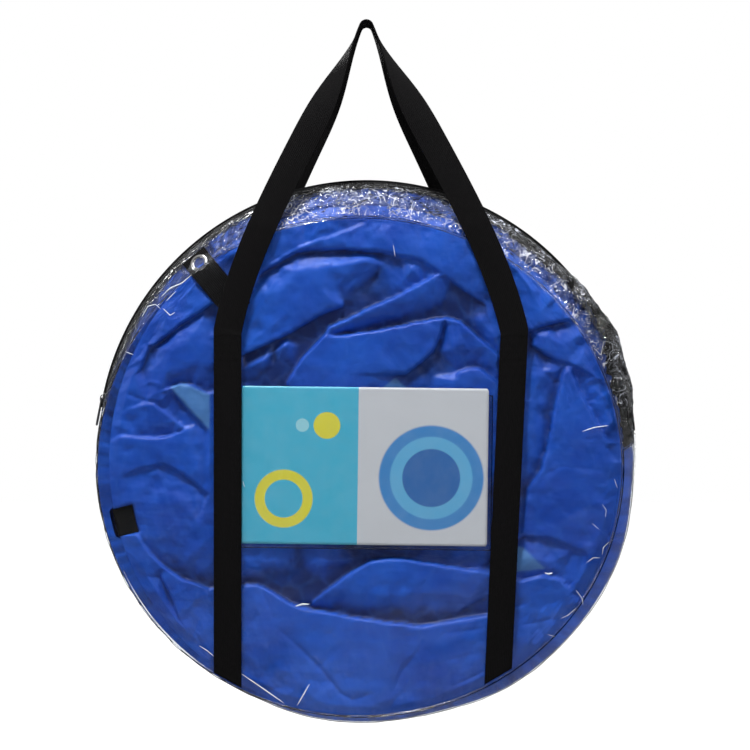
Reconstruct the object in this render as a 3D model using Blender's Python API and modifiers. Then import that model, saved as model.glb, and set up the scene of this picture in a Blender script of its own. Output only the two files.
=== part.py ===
"""A pop-open pet play tunnel, packed flat in its round clear carry bag and hung by its two webbing handles.

Metres, +Z up. The origin is the hanging point, on top of the hook and under both handles. The bag's round axis runs
along Y, and its front panel faces -Y. The tunnel is a nylon tube on one spiral of spring wire, pushed flat.
"""
import math

import bmesh
import bpy
import numpy as np
from mathutils import Matrix, Vector

COLLECTION_NAME = "pet_play_tunnel"

# The gap between pieces that touch
GAP = 0.0003

# Tunnel
TUNNEL_DIAMETER = 0.457
WIRE_DIAMETER = 0.0025
WIRE_TURNS = 8
WIRE_PITCH = 0.0036
WIRE_POINTS_PER_TURN = 24
WIRE_END_ANGLE = math.radians(60)
TUNNEL_SHIFT_X = -0.002
SLEEVE_LENGTH = 0.016
SLEEVE_WALL = 0.0004
SLEEVE_EASE = 0.00035
BAY_DEPTH = 0.085
BAY_CLOTH = 0.0005
PLEAT_EDGE = 0.002
HEM_WIDTH = 0.005
HEM_THICKNESS = 0.002
CLOTH_THICKNESS = 0.0008
FRONT_BILLOW = 0.0049
REAR_BILLOW = 0.0012
BILLOW_SHARPNESS = 3
CLOTH_CELLS = 19
HEM_STEPS = 48
PLEAT_STEPS = 28
SLEEVE_STEPS = 12
RIM_FADE = 0.15

# Main folds of the loose cloth at the two mouths: start x, z, end x, z from the bag's middle, half width, height
FRONT_FOLDS = (
    (-0.060, 0.181, 0.090, 0.160, 0.014, -0.0016),
    (-0.020, 0.112, 0.066, 0.158, 0.012, 0.0022),
    (0.066, 0.158, 0.122, 0.080, 0.013, 0.0018),
    (-0.120, 0.020, -0.060, 0.130, 0.016, 0.0015),
    (-0.170, 0.070, -0.120, 0.100, 0.012, -0.0014),
    (-0.060, -0.136, 0.012, -0.099, 0.013, -0.0018),
    (0.012, -0.099, 0.100, -0.128, 0.013, 0.0020),
    (-0.150, -0.030, -0.090, -0.150, 0.015, 0.0014),
    (0.130, 0.050, 0.170, -0.060, 0.015, 0.0016),
    (0.110, -0.100, 0.160, -0.140, 0.012, -0.0014),
)
REAR_FOLDS = (
    (-0.080, 0.050, 0.020, 0.090, 0.016, 0.0010),
    (0.030, 0.080, 0.090, 0.010, 0.015, 0.0009),
    (-0.080, -0.070, 0.030, -0.050, 0.015, 0.0008),
    (0.040, -0.050, 0.080, -0.080, 0.013, 0.0008),
)

# Bag: its depth is the room in front of the wire, the wire's run and the room behind it
FRONT_ROOM = 0.0138
REAR_ROOM = 0.0074
VINYL = 0.0004
REAR_EASE = 0.016
MID_EASE = 0.010
FRONT_SIDE_EASE = 0.007
FRONT_TOP_SHORTFALL = 0.005
FRONT_SHIFT_X = -0.006
FRONT_SAG = 0.0145
GUSSET_BELLY = 0.0065
BAG_SEGMENTS = 72
LOWER_GUSSET_STEPS = 37
UPPER_GUSSET_STEPS = 33
GUSSET_DEPTH_STEPS = 5

# Zip
ZIP_RIGHT_ANGLE = math.radians(4)
ZIP_LEFT_ANGLE = math.radians(171)
ZIP_TAPE = 0.0006
TAPE_STEPS = 43
COIL_STEPS = 49
COIL_DIAMETER = 0.0022
COIL_GAP = 0.0014
STOP_LENGTH = 0.0024
STOP_HEIGHT = 0.0030
SLIDER_LENGTH = 0.0096
SLIDER_REST = 0.0010
PLATE_THICKNESS = 0.0011
PLATE_CLEARANCE = 0.00035
FLANGE_WIDTH = 0.0010
BRIDGE_LENGTH = 0.0030
CROWN_LENGTH = 0.0070
CROWN_WIDTH = 0.0016
CROWN_THICKNESS = 0.0008
CROWN_WINDOW = 0.0020
PULL_LENGTH = 0.026
PULL_WIDTH = 0.0074
PULL_THICKNESS = 0.0012
PULL_EYE_LENGTH = 0.0040
PULL_EYE_WIDTH = 0.0030
PULL_BAR = 0.0012

# Webbing straps and handles
WEBBING_WIDTH = 0.0254
WEBBING = 0.0013
SEWN_DROP = 0.1375
HANDLE_RISE = 0.1405
FRONT_STRAP_LEFT_X = -0.1243
FRONT_STRAP_RIGHT_X = 0.1325
FRONT_STRAP_RIGHT_FOOT_X = 0.1180
REAR_STRAP_X = 0.1140
STRAP_END_MARGIN = 0.0015
STRAP_FOOT_POINTS = 5
HOOK_RADIUS = 0.005
HANDLE_BOW = 0.0098
# The bow follows s(1 - s)^2, which peaks at 4/27
BOW_SCALE = 27 / 4
HANDLE_TWIST = 0.115
HANDLE_DRIFT = 0.053
PANEL_STATIONS = 5
FREE_STATIONS = 11
HOOK_STATIONS = 5

# Insert card and its pocket
CARD_WIDTH = 0.2216
CARD_HEIGHT = 0.1415
CARD_THICKNESS = 0.0005
CARD_X = -0.0018
CARD_Z = -0.0138
CARD_TILT = math.radians(-0.7)
POCKET_SIDE_MARGIN = 0.0040
POCKET_FOOT_MARGIN = 0.0040
POCKET_TOP_DROP = 0.0060
POCKET_THICKNESS = 0.0003

# Webbing tabs and their eyelets
TAB_WEBBING = 0.0013
TAB_WIDTH = 0.025
EYELET_HOLE_RADIUS = 0.0050
EYELET_WALL = 0.0004
EYELET_FLANGE_RADIUS = 0.0085
EYELET_FLANGE = 0.0005
EYELET_STEPS = 16
HOLE_STEPS = 24
UPPER_TAB_ANGLE = math.radians(129.8)
SIDE_TAB_ANGLE = math.radians(194)
REAR_TAB_ANGLES = (math.radians(20), math.radians(250))
UPPER_TAB_ROOM = 0.0011
UPPER_EYELET_REACH = 0.0115
UPPER_EYELET_LEAN = 0.2
UPPER_TAB_BEND = 0.0010
UPPER_TAB_EASE = 0.0080
UPPER_TAB_STEP = 0.0008
UPPER_TAB_MARGIN = 0.0005
UPPER_TAB_LENGTH = 0.066
SIDE_TAB_REACH = 0.018
SIDE_TAB_DEPTH = 0.0255
SIDE_TAB_WRAP = 0.0020
REAR_TAB_LENGTH = 0.036
REAR_EYELET_INSET = 0.0250

# Values worked out from the sizes above
TUNNEL_RADIUS = TUNNEL_DIAMETER / 2
WIRE_RUN = WIRE_TURNS * WIRE_PITCH
BAG_DEPTH = FRONT_ROOM + WIRE_RUN + REAR_ROOM
REAR_RADIUS = TUNNEL_RADIUS + REAR_EASE
MID_RADIUS = TUNNEL_RADIUS + MID_EASE
FRONT_HALF_WIDTH = TUNNEL_RADIUS + FRONT_SIDE_EASE
FRONT_HALF_HEIGHT = TUNNEL_RADIUS - FRONT_TOP_SHORTFALL
HANG_DROP = REAR_RADIUS + HANDLE_RISE
MIDDLE_Z = -HANG_DROP
FRONT_Y = -BAG_DEPTH / 2
BACK_Y = BAG_DEPTH / 2
FIRST_TURN_Y = FRONT_Y + FRONT_ROOM
LAST_TURN_Y = FIRST_TURN_Y + WIRE_RUN
SEWN_Z = MIDDLE_Z + REAR_RADIUS - SEWN_DROP
WIRE_RADIUS = WIRE_DIAMETER / 2
COIL_RADIUS = TUNNEL_RADIUS - WIRE_RADIUS
TUNNEL_Z = MIDDLE_Z - (MID_RADIUS - VINYL / 2 - GAP - TUNNEL_RADIUS)
SLEEVE_RADIUS = WIRE_RADIUS + SLEEVE_EASE + SLEEVE_WALL
PLEAT_RADIUS = COIL_RADIUS * math.cos(math.pi / WIRE_POINTS_PER_TURN) - SLEEVE_RADIUS - GAP
FRONT_HEM_Y = FIRST_TURN_Y - SLEEVE_RADIUS - GAP
REAR_HEM_Y = LAST_TURN_Y + SLEEVE_RADIUS + GAP
CLOTH_RADIUS = (TUNNEL_RADIUS - HEM_WIDTH) * math.cos(math.pi / HEM_STEPS) - GAP
EYELET_HALF_HEIGHT = TAB_WEBBING / 2 + EYELET_FLANGE + GAP / 2
ZIP_SLANT = math.hypot(BACK_Y, REAR_RADIUS - MID_RADIUS)
SLIDER_LEAD = (GAP + STOP_LENGTH + SLIDER_REST + SLIDER_LENGTH / 2) / MID_RADIUS
SLIDER_ANGLE = ZIP_LEFT_ANGLE - SLIDER_LEAD
COIL_OFFSET = (COIL_GAP + COIL_DIAMETER) / 2
TAPE_EDGE = COIL_OFFSET + COIL_DIAMETER / 2 + GAP
PIVOT_HEIGHT = COIL_DIAMETER / 2 + PLATE_CLEARANCE + PLATE_THICKNESS + CROWN_WINDOW / 2


def clear_scene():
    """Empties the scene, also of what a new file starts with."""
    for thing in list(bpy.data.objects):
        bpy.data.objects.remove(thing, do_unlink=True)
    for collection in list(bpy.data.collections):
        bpy.data.collections.remove(collection)


def new_collection(name):
    """A collection linked to the scene."""
    collection = bpy.data.collections.new(name)
    bpy.context.scene.collection.children.link(collection)
    return collection


def new_material(name, colour, roughness, metallic=0.0, alpha=1.0):
    """A plain Principled material."""
    material = bpy.data.materials.new(name)
    material.use_nodes = True
    shader = material.node_tree.nodes["Principled BSDF"]
    shader.inputs["Base Color"].default_value = (*colour, 1.0)
    shader.inputs["Roughness"].default_value = roughness
    shader.inputs["Metallic"].default_value = metallic
    shader.inputs["Alpha"].default_value = alpha
    material.diffuse_color = (*colour, alpha)
    return material


def add_object(name, data, material, collection=None):
    """Links new object data under a name, with its material."""
    thing = bpy.data.objects.new(name, data)
    if material is not None:
        data.materials.append(material)
    (collection or PARTS).objects.link(thing)
    return thing


def in_bag(x, z):
    """World x and z of a point that is given from the bag's middle."""
    return x, MIDDLE_Z + z


def mesh_grid(rows, columns):
    """A flat grid mesh of rows by columns of points, which a caller moves into place."""
    mesh = bpy.data.meshes.new("grid")
    grid = bmesh.new()
    bmesh.ops.create_grid(grid, x_segments=rows - 1, y_segments=columns - 1, size=1.0)
    grid.to_mesh(mesh)
    grid.free()
    return mesh


def sheet(name, points, thickness, material):
    """A sheet of the given thickness, centred on a grid of points with the shape rows, columns, 3."""
    rows, columns = points.shape[:2]
    mesh = mesh_grid(rows, columns)
    places = np.empty(len(mesh.vertices) * 3)
    mesh.vertices.foreach_get("co", places)
    places = places.reshape(-1, 3)
    row = np.rint((places[:, 0] + 1) / 2 * (rows - 1)).astype(int)
    column = np.rint((places[:, 1] + 1) / 2 * (columns - 1)).astype(int)
    mesh.vertices.foreach_set("co", points[row, column].ravel())
    mesh.shade_smooth()
    mesh.update()
    thing = add_object(name, mesh, material)
    shell = thing.modifiers.new("thickness", "SOLIDIFY")
    shell.thickness = thickness
    shell.offset = 0.0
    return thing


def flat_outline(name, outlines, y_low, thickness, material):
    """A flat piece that stands in the XZ plane: closed outlines of x and z, from y_low to y_low plus thickness."""
    curve = bpy.data.curves.new(name, "CURVE")
    curve.dimensions = "2D"
    curve.fill_mode = "BOTH"
    curve.extrude = thickness / 2
    for outline in outlines:
        spline = curve.splines.new("POLY")
        spline.points.add(len(outline) - 1)
        for point, (x, z) in zip(spline.points, outline):
            point.co = (x, z, 0, 1)
        spline.use_cyclic_u = True
    thing = add_object(name, curve, material)
    thing.rotation_euler = (math.pi / 2, 0, 0)
    thing.location = (0, y_low + thickness / 2, 0)
    return thing


def tube(name, points, diameter, material, resolution=1):
    """A round rod along a row of points."""
    curve = bpy.data.curves.new(name, "CURVE")
    curve.dimensions = "3D"
    curve.bevel_depth = diameter / 2
    curve.bevel_resolution = resolution
    curve.use_fill_caps = True
    spline = curve.splines.new("POLY")
    spline.points.add(len(points) - 1)
    for point, place in zip(spline.points, points):
        point.co = (*place, 1)
    return add_object(name, curve, material)


def turned(name, profile, steps, material, place=Matrix.Identity(4), collection=None):
    """A closed profile of radius and height, given clockwise, turned about its own Z axis and put in place."""
    mesh = bpy.data.meshes.new(name)
    count = len(profile)
    corners = [(radius, 0, height) for radius, height in profile]
    mesh.from_pydata(corners, [(i, (i + 1) % count) for i in range(count)], [])
    thing = add_object(name, mesh, material, collection)
    screw = thing.modifiers.new("turn", "SCREW")
    screw.axis = "Z"
    screw.steps = steps
    screw.render_steps = steps
    screw.use_merge_vertices = True
    screw.merge_threshold = 0.00001
    screw.use_smooth_shade = True
    thing.matrix_world = place
    return thing


def helper_box(name, low, high, place):
    """A hidden box that a Boolean reads, between two corners in the frame of place."""
    mesh = bpy.data.meshes.new(name)
    box = bmesh.new()
    size = [b - a for a, b in zip(low, high)]
    middle = [(a + b) / 2 for a, b in zip(low, high)]
    bmesh.ops.create_cube(box, size=1.0, matrix=Matrix.Translation(middle) @ Matrix.Diagonal((*size, 1)))
    box.to_mesh(mesh)
    box.free()
    thing = add_object(name, mesh, None, HELPERS)
    thing.matrix_world = place
    thing.hide_render = True
    thing.display_type = "WIRE"
    return thing


def helper_cylinder(name, radius, depth, place):
    """A hidden cylinder about the Z axis of place, which a Boolean reads."""
    mesh = bpy.data.meshes.new(name)
    shape = bmesh.new()
    bmesh.ops.create_cone(shape, cap_ends=True, segments=HOLE_STEPS, radius1=radius, radius2=radius, depth=depth)
    shape.to_mesh(mesh)
    shape.free()
    thing = add_object(name, mesh, None, HELPERS)
    thing.matrix_world = place
    thing.hide_render = True
    thing.display_type = "WIRE"
    return thing


def hang_on_axis(thing, name, place):
    """Parents a piece to an empty that stands on its joint's axis, without moving the piece."""
    axis = add_object(name, None, None)
    axis.empty_display_size = WEBBING_WIDTH
    axis.location = place
    thing.parent = axis
    thing.matrix_parent_inverse = Matrix.Translation(place).inverted()


def combine(thing, other, operation):
    """Adds one Boolean step to a piece."""
    step = thing.modifiers.new(other.name, "BOOLEAN")
    step.operation = operation
    step.object = other
    step.solver = "EXACT"


def solid_box(name, low, high, place, material):
    """A shown box between two corners in the frame of place."""
    thing = helper_box(name, low, high, place)
    HELPERS.objects.unlink(thing)
    PARTS.objects.link(thing)
    thing.hide_render = False
    thing.display_type = "TEXTURED"
    thing.data.materials.append(material)
    return thing


def section(angle, y):
    """The bag's side, in words: at each depth a ring round the bag's middle. The front seam is a low, wide ellipse,
    the middle and rear rings are circles, and the front half bellies out between its two rings.
    angle and y are arrays; returns x and z from the bag's middle."""
    angle, y = np.broadcast_arrays(np.asarray(angle, float), np.asarray(y, float))
    front = np.clip(y / FRONT_Y, 0, 1)
    back = np.clip(y / BACK_Y, 0, 1)
    belly = GUSSET_BELLY * 4 * front * (1 - front)
    plain = MID_RADIUS + (REAR_RADIUS - MID_RADIUS) * back + belly
    x = np.cos(angle) * (plain + (FRONT_HALF_WIDTH - MID_RADIUS) * front) + FRONT_SHIFT_X * front
    z = np.sin(angle) * (plain + (FRONT_HALF_HEIGHT - MID_RADIUS) * front) - FRONT_SAG * front
    return x, z


def side_points(start, end, depths, step_count):
    """Grid of world points on the bag's side, along the angle and then across the depth."""
    angles = np.linspace(start, end, step_count)[:, None]
    depths = np.asarray(depths)[None, :]
    x, z = section(angles, depths)
    return np.stack([x, np.broadcast_to(depths, x.shape), MIDDLE_Z + z], axis=-1)


def ellipse(half_width, half_height, x, z, count=BAG_SEGMENTS):
    """Closed outline of an ellipse about a point given from the bag's middle."""
    angles = np.linspace(0, 2 * math.pi, count, endpoint=False)
    return [in_bag(x + half_width * math.cos(a), z + half_height * math.sin(a)) for a in angles]


def bag_panels():
    """The two flat clear panels."""
    front = ellipse(FRONT_HALF_WIDTH, FRONT_HALF_HEIGHT, FRONT_SHIFT_X, -FRONT_SAG)
    flat_outline("bag_front_panel", [front], FRONT_Y, VINYL, CLEAR)
    flat_outline("bag_back_panel", [ellipse(REAR_RADIUS, REAR_RADIUS, 0, 0)], BACK_Y - VINYL, VINYL, CLEAR)


def bag_gussets():
    """The clear side bands: one round the lower half over the whole depth, one in front of the zip."""
    edge = VINYL + GAP
    slit = GAP / MID_RADIUS
    turn = 2 * math.pi
    front_depths = np.linspace(FRONT_Y + edge, 0, GUSSET_DEPTH_STEPS)
    depths = np.append(front_depths, [BACK_Y / 2, BACK_Y - edge])
    low = side_points(ZIP_LEFT_ANGLE + slit, turn + ZIP_RIGHT_ANGLE - slit, depths, LOWER_GUSSET_STEPS)
    sheet("bag_lower_gusset", low, VINYL, CLEAR)
    front_depths[-1] = -GAP / 2
    high = side_points(ZIP_RIGHT_ANGLE, ZIP_LEFT_ANGLE, front_depths, UPPER_GUSSET_STEPS)
    sheet("bag_upper_gusset", high, VINYL, CLEAR)


def zip_point(angle, across, height=0.0):
    """World point on the zip's band: across runs from its middle line to the rear, height stands out of it."""
    slope_y = BACK_Y / ZIP_SLANT
    slope_r = (REAR_RADIUS - MID_RADIUS) / ZIP_SLANT
    along = ZIP_SLANT / 2 + across
    radius = MID_RADIUS + along * slope_r + height * slope_y
    y = along * slope_y - height * slope_r
    return Vector((radius * math.cos(angle), y, MIDDLE_Z + radius * math.sin(angle)))


def zip_frame(angle):
    """Frame on the zip's middle line: X along its run, towards rising angle, Y across to the rear, Z outwards."""
    origin = zip_point(angle, 0)
    run = Vector((-math.sin(angle), 0, math.cos(angle)))
    across = (zip_point(angle, 0.001) - origin).normalized()
    out = (zip_point(angle, 0, 0.001) - origin).normalized()
    # Run, across and out make a left-handed set as they stand, so across is turned round for the frame's Y
    turn = Matrix((run, -across, out)).transposed().to_4x4()
    return Matrix.Translation(origin) @ turn


def zip_tapes():
    """Two woven tapes, from the coils to the seams."""
    angles = np.linspace(ZIP_RIGHT_ANGLE, ZIP_LEFT_ANGLE, TAPE_STEPS)
    outer = ZIP_SLANT / 2 - GAP / 2
    spans = {"zip_tape_front": (-outer, -TAPE_EDGE), "zip_tape_rear": (TAPE_EDGE, outer - VINYL)}
    for name, span in spans.items():
        points = np.array([[zip_point(a, s) for s in span] for a in angles])
        sheet(name, points, ZIP_TAPE, BLACK_TAPE)


def zip_coils():
    """The two rows of nylon teeth, as plain beads with a slot for the slider's bridge between them."""
    margin = (STOP_LENGTH + 3 * GAP) / MID_RADIUS
    angles = np.linspace(ZIP_RIGHT_ANGLE + margin, ZIP_LEFT_ANGLE - margin, COIL_STEPS)
    for name, side in (("zip_coil_front", -1), ("zip_coil_rear", 1)):
        points = [zip_point(a, side * COIL_OFFSET) for a in angles]
        tube(name, points, COIL_DIAMETER, BLACK_COIL)


def zip_stops():
    """A clamp across both rows at each end of the zip."""
    half_width = TAPE_EDGE - GAP
    lead = (STOP_LENGTH / 2 + GAP) / MID_RADIUS
    places = (("zip_stop_left", ZIP_LEFT_ANGLE - lead), ("zip_stop_right", ZIP_RIGHT_ANGLE + lead))
    for name, angle in places:
        low = (-STOP_LENGTH / 2, -half_width, -STOP_HEIGHT / 2)
        high = (STOP_LENGTH / 2, half_width, STOP_HEIGHT / 2)
        solid_box(name, low, high, zip_frame(angle), DARK_METAL)


def zip_slider():
    """Two plates with turned-in flanges, a bridge that runs between the coils, and the crown that holds the pull."""
    place = zip_frame(SLIDER_ANGLE)
    half_length = SLIDER_LENGTH / 2
    inside = COIL_DIAMETER / 2 + PLATE_CLEARANCE
    outside = inside + PLATE_THICKNESS
    flange_low = ZIP_TAPE / 2 + PLATE_CLEARANCE
    half_width = COIL_OFFSET + COIL_DIAMETER / 2 + PLATE_CLEARANCE + FLANGE_WIDTH
    slider = solid_box(
        "zip_slider",
        (-half_length, -half_width, inside),
        (half_length, half_width, outside),
        place,
        DARK_METAL,
    )
    bridge = COIL_GAP / 2 - GAP
    boxes = [
        ((-half_length, -half_width, -outside), (half_length, half_width, -inside)),
        ((-half_length, -bridge, -outside + GAP), (-half_length + BRIDGE_LENGTH, bridge, outside - GAP)),
    ]
    for side in (-1, 1):
        edges = sorted((side * (half_width - FLANGE_WIDTH), side * half_width))
        boxes.append(((-half_length, edges[0], flange_low), (half_length, edges[1], outside - GAP)))
        boxes.append(((-half_length, edges[0], -outside + GAP), (half_length, edges[1], -flange_low)))
    crown_top = outside + CROWN_WINDOW + CROWN_THICKNESS
    crown = ((-CROWN_LENGTH / 2, -CROWN_WIDTH / 2, outside - GAP), (CROWN_LENGTH / 2, CROWN_WIDTH / 2, crown_top))
    boxes.append(crown)
    for index, (low, high) in enumerate(boxes):
        combine(slider, helper_box(f"slider_part_{index}", low, high, place), "UNION")
    window_half = CROWN_LENGTH / 2 - CROWN_THICKNESS
    window = helper_box(
        "slider_window",
        (-window_half, -CROWN_WIDTH, outside),
        (window_half, CROWN_WIDTH, outside + CROWN_WINDOW),
        place,
    )
    combine(slider, window, "DIFFERENCE")
    hang_on_axis(slider, "zip_slider_axis", (0, place.translation.y, MIDDLE_Z))
    return place


def zip_pull(place):
    """The pull tab, its end bar held under the crown, hanging down along the zip."""
    pivot = place @ Matrix.Translation((0, 0, PIVOT_HEIGHT))
    half = PULL_THICKNESS / 2
    start = -PULL_BAR / 2
    pull = solid_box(
        "zip_pull",
        (start, -PULL_WIDTH / 2, -half),
        (start + PULL_LENGTH, PULL_WIDTH / 2, half),
        pivot,
        DARK_METAL,
    )
    eye_start = start + PULL_BAR
    eye = helper_box(
        "pull_eye",
        (eye_start, -PULL_EYE_WIDTH / 2, -PULL_THICKNESS),
        (eye_start + PULL_EYE_LENGTH, PULL_EYE_WIDTH / 2, PULL_THICKNESS),
        pivot,
    )
    combine(pull, eye, "DIFFERENCE")
    slot_start = eye_start + PULL_EYE_LENGTH + 2 * PULL_BAR
    slot = helper_box(
        "pull_slot",
        (slot_start, -PULL_EYE_WIDTH / 2, -PULL_THICKNESS),
        (start + PULL_LENGTH - 2 * PULL_BAR, PULL_EYE_WIDTH / 2, PULL_THICKNESS),
        pivot,
    )
    combine(pull, slot, "DIFFERENCE")


def strap(name, top_x, foot_x, half_width, half_height, ring_x, ring_z, y_low):
    """A sewn run of webbing, from the sewn line down to the seam ring, whose curve its foot follows."""
    half = WEBBING_WIDTH / 2
    top = SEWN_Z - GAP / 2
    outline = [(top_x - half, top), (top_x + half, top)]
    for share in np.linspace(1, -1, STRAP_FOOT_POINTS):
        x = foot_x + share * half
        reach = (x - ring_x) / (half_width - STRAP_END_MARGIN)
        drop = (half_height - STRAP_END_MARGIN) * math.sqrt(1 - reach**2)
        outline.append((x, MIDDLE_Z + ring_z - drop))
    flat_outline(name, [outline], y_low, WEBBING, BLACK_WEBBING)


def straps():
    """The four sewn runs of webbing."""
    front = (FRONT_HALF_WIDTH, FRONT_HALF_HEIGHT, FRONT_SHIFT_X, -FRONT_SAG, FRONT_Y - GAP - WEBBING)
    rear = (REAR_RADIUS, REAR_RADIUS, 0, 0, BACK_Y + GAP)
    strap("strap_front_left", FRONT_STRAP_LEFT_X, FRONT_STRAP_LEFT_X, *front)
    strap("strap_front_right", FRONT_STRAP_RIGHT_X, FRONT_STRAP_RIGHT_FOOT_X, *front)
    strap("strap_rear_left", -REAR_STRAP_X, -REAR_STRAP_X, *rear)
    strap("strap_rear_right", REAR_STRAP_X, REAR_STRAP_X, *rear)


def smooth(value):
    """Smooth step from 0 to 1."""
    value = np.clip(value, 0, 1)
    return value * value * (3 - 2 * value)


def leg_sections(foot_x, facing, leave_z):
    """Edge points of one handle leg from its sewn foot to the hook, as pairs in rows.

    The leg runs straight from its foot to the tangent point of the hook's circle, bowed outwards by a cubic. It lies
    on the panel up to leave_z, then leans to its half of the hook, and turns a quarter about its own line."""
    side = math.copysign(1, foot_x)
    reach = HOOK_RADIUS + WEBBING / 2
    centre = Vector((0, -HOOK_RADIUS))
    foot = Vector((foot_x, SEWN_Z))
    away = foot - centre
    tangent = math.atan2(away.y, away.x) + side * math.acos(reach / away.length)
    top = centre + reach * Vector((math.cos(tangent), math.sin(tangent)))
    face_y = facing * (BAG_DEPTH / 2 + GAP + WEBBING / 2)
    apex_y = facing * (WEBBING_WIDTH / 2 + GAP)
    leave = (leave_z - foot.y) / (top.y - foot.y)
    share = np.append(np.linspace(0, leave, PANEL_STATIONS)[:-1], np.linspace(leave, 1, FREE_STATIONS))
    x = foot.x + (top.x - foot.x) * share + side * HANDLE_BOW * BOW_SCALE * share * (1 - share) ** 2
    z = foot.y + (top.y - foot.y) * share
    lean = np.clip((z - leave_z) / (top.y - leave_z), 0, 1)
    y = face_y + (apex_y - face_y) * lean
    path = np.stack([x, y, z], axis=1)
    run = np.gradient(path, axis=0)
    run /= np.linalg.norm(run, axis=1)[:, None]
    length = (top - foot).length
    twist = smooth((share * length - (length - HANDLE_TWIST)) / HANDLE_TWIST) * math.pi / 2
    flat = np.array([0, facing, 0])
    outward = np.array([math.cos(tangent), 0, math.sin(tangent)])
    normal = np.cos(twist)[:, None] * flat + np.sin(twist)[:, None] * outward
    width = np.cross(normal, run) * (-side)
    width /= np.linalg.norm(width, axis=1)[:, None]
    edges = np.stack([path - width * WEBBING_WIDTH / 2, path + width * WEBBING_WIDTH / 2], axis=1)
    # The foot is cut level, along the sewn line
    level = SEWN_Z + GAP / 2
    for column in (0, 1):
        edges[0, column] += run[0] * (level - edges[0, column, 2]) / run[0, 2]
    return edges, tangent


def handle(name, left_x, right_x, facing, leave_z):
    """A webbing handle: its left leg, the turn over the hook and its right leg, in one piece."""
    left, left_angle = leg_sections(left_x, facing, leave_z)
    right, right_angle = leg_sections(right_x, facing, leave_z)
    reach = HOOK_RADIUS + WEBBING / 2
    apex_y = facing * (WEBBING_WIDTH / 2 + GAP)
    angles = np.linspace(left_angle % (2 * math.pi), right_angle % (2 * math.pi), HOOK_STATIONS + 2)[1:-1]
    middle = np.stack([reach * np.cos(angles), np.full(HOOK_STATIONS, apex_y), reach * np.sin(angles)], axis=1)
    middle[:, 2] -= HOOK_RADIUS
    first = left[-1, 1] - left[-1, 0]
    half = np.array([0, math.copysign(WEBBING_WIDTH / 2, first[1]), 0])
    over = np.stack([middle - half, middle + half], axis=1)
    back = right[::-1]
    if np.dot(back[0, 1] - back[0, 0], half) < 0:
        back = back[:, ::-1]
    points = np.concatenate([left, over, back])
    thing = sheet(name, points, WEBBING, BLACK_WEBBING)
    axis_y = facing * (BAG_DEPTH / 2 + GAP + WEBBING + GAP / 2)
    hang_on_axis(thing, f"{name}_axis", (0, axis_y, SEWN_Z))


def handles():
    """The two handles. Each leaves its panel where the inner edge of its leg crosses the panel's seam."""
    inward = HANDLE_DRIFT + WEBBING_WIDTH / 2
    reach = (abs(FRONT_STRAP_LEFT_X) - inward) / FRONT_HALF_WIDTH
    front_leave = MIDDLE_Z - FRONT_SAG + FRONT_HALF_HEIGHT * math.sqrt(1 - reach**2)
    reach = (REAR_STRAP_X - inward) / REAR_RADIUS
    rear_leave = MIDDLE_Z + REAR_RADIUS * math.sqrt(1 - reach**2)
    handle("front_handle", FRONT_STRAP_LEFT_X, FRONT_STRAP_RIGHT_X, -1, front_leave)
    handle("rear_handle", -REAR_STRAP_X, REAR_STRAP_X, 1, rear_leave)


def card_and_pocket():
    """The insert card behind the front panel, and the clear sheet that holds it there."""
    cosine, sine = math.cos(CARD_TILT), math.sin(CARD_TILT)

    def corners(left, right, low, high):
        """A rectangle about the card's middle, tilted with it."""
        outline = ((left, low), (right, low), (right, high), (left, high))
        return [in_bag(CARD_X + x * cosine - z * sine, CARD_Z + x * sine + z * cosine) for x, z in outline]

    half_width, half_height = CARD_WIDTH / 2, CARD_HEIGHT / 2
    card_y = FRONT_Y + VINYL + GAP
    card = corners(-half_width, half_width, -half_height, half_height)
    flat_outline("insert_card", [card], card_y, CARD_THICKNESS, CARD)
    side = half_width + POCKET_SIDE_MARGIN
    pocket = corners(-side, side, -half_height - POCKET_FOOT_MARGIN, half_height - POCKET_TOP_DROP)
    flat_outline("card_pocket", [pocket], card_y + CARD_THICKNESS + GAP, POCKET_THICKNESS, CLEAR)


def tunnel_wire():
    """One unbroken spiral of spring wire and the crimped sleeve on each of its ends."""
    count = WIRE_TURNS * WIRE_POINTS_PER_TURN
    turn = np.arange(count + 1) / WIRE_POINTS_PER_TURN
    angle = WIRE_END_ANGLE + 2 * math.pi * turn
    # A polygon's corners stand on the wire's own circle, so that its outer side stays inside the tunnel's diameter
    x = TUNNEL_SHIFT_X + COIL_RADIUS * np.cos(angle)
    z = TUNNEL_Z + COIL_RADIUS * np.sin(angle)
    y = FIRST_TURN_Y + WIRE_PITCH * turn
    points = np.stack([x, y, z], axis=1)
    apart = points[WIRE_POINTS_PER_TURN:] - points[:-WIRE_POINTS_PER_TURN]
    gap = np.linalg.norm(apart, axis=1).min() - WIRE_DIAMETER
    print(f"least gap between the wire's turns: {gap * 1000:.2f} mm")
    tube("tunnel_wire", points, WIRE_DIAMETER, SPRING_STEEL)
    bore = WIRE_RADIUS + SLEEVE_EASE
    half = SLEEVE_LENGTH / 2
    profile = [(bore, half), (SLEEVE_RADIUS, half), (SLEEVE_RADIUS, -half), (bore, -half)]
    ends = (("wire_sleeve_front", points[0], points[1]), ("wire_sleeve_rear", points[-1], points[-2]))
    for name, end, inner in ends:
        run = Vector(inner - end).normalized()
        place = Matrix.Translation(Vector(end) + run * (half - SLEEVE_WALL))
        turned(name, profile, SLEEVE_STEPS, SPRING_STEEL, place @ run.to_track_quat("Z", "Y").to_matrix().to_4x4())


def tunnel_axis(y):
    """Frame whose Z axis is the packed tunnel's axis, pointing to the rear, at depth y."""
    return Matrix.Translation((TUNNEL_SHIFT_X, y, TUNNEL_Z)) @ Matrix.Rotation(-math.pi / 2, 4, "X")


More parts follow.
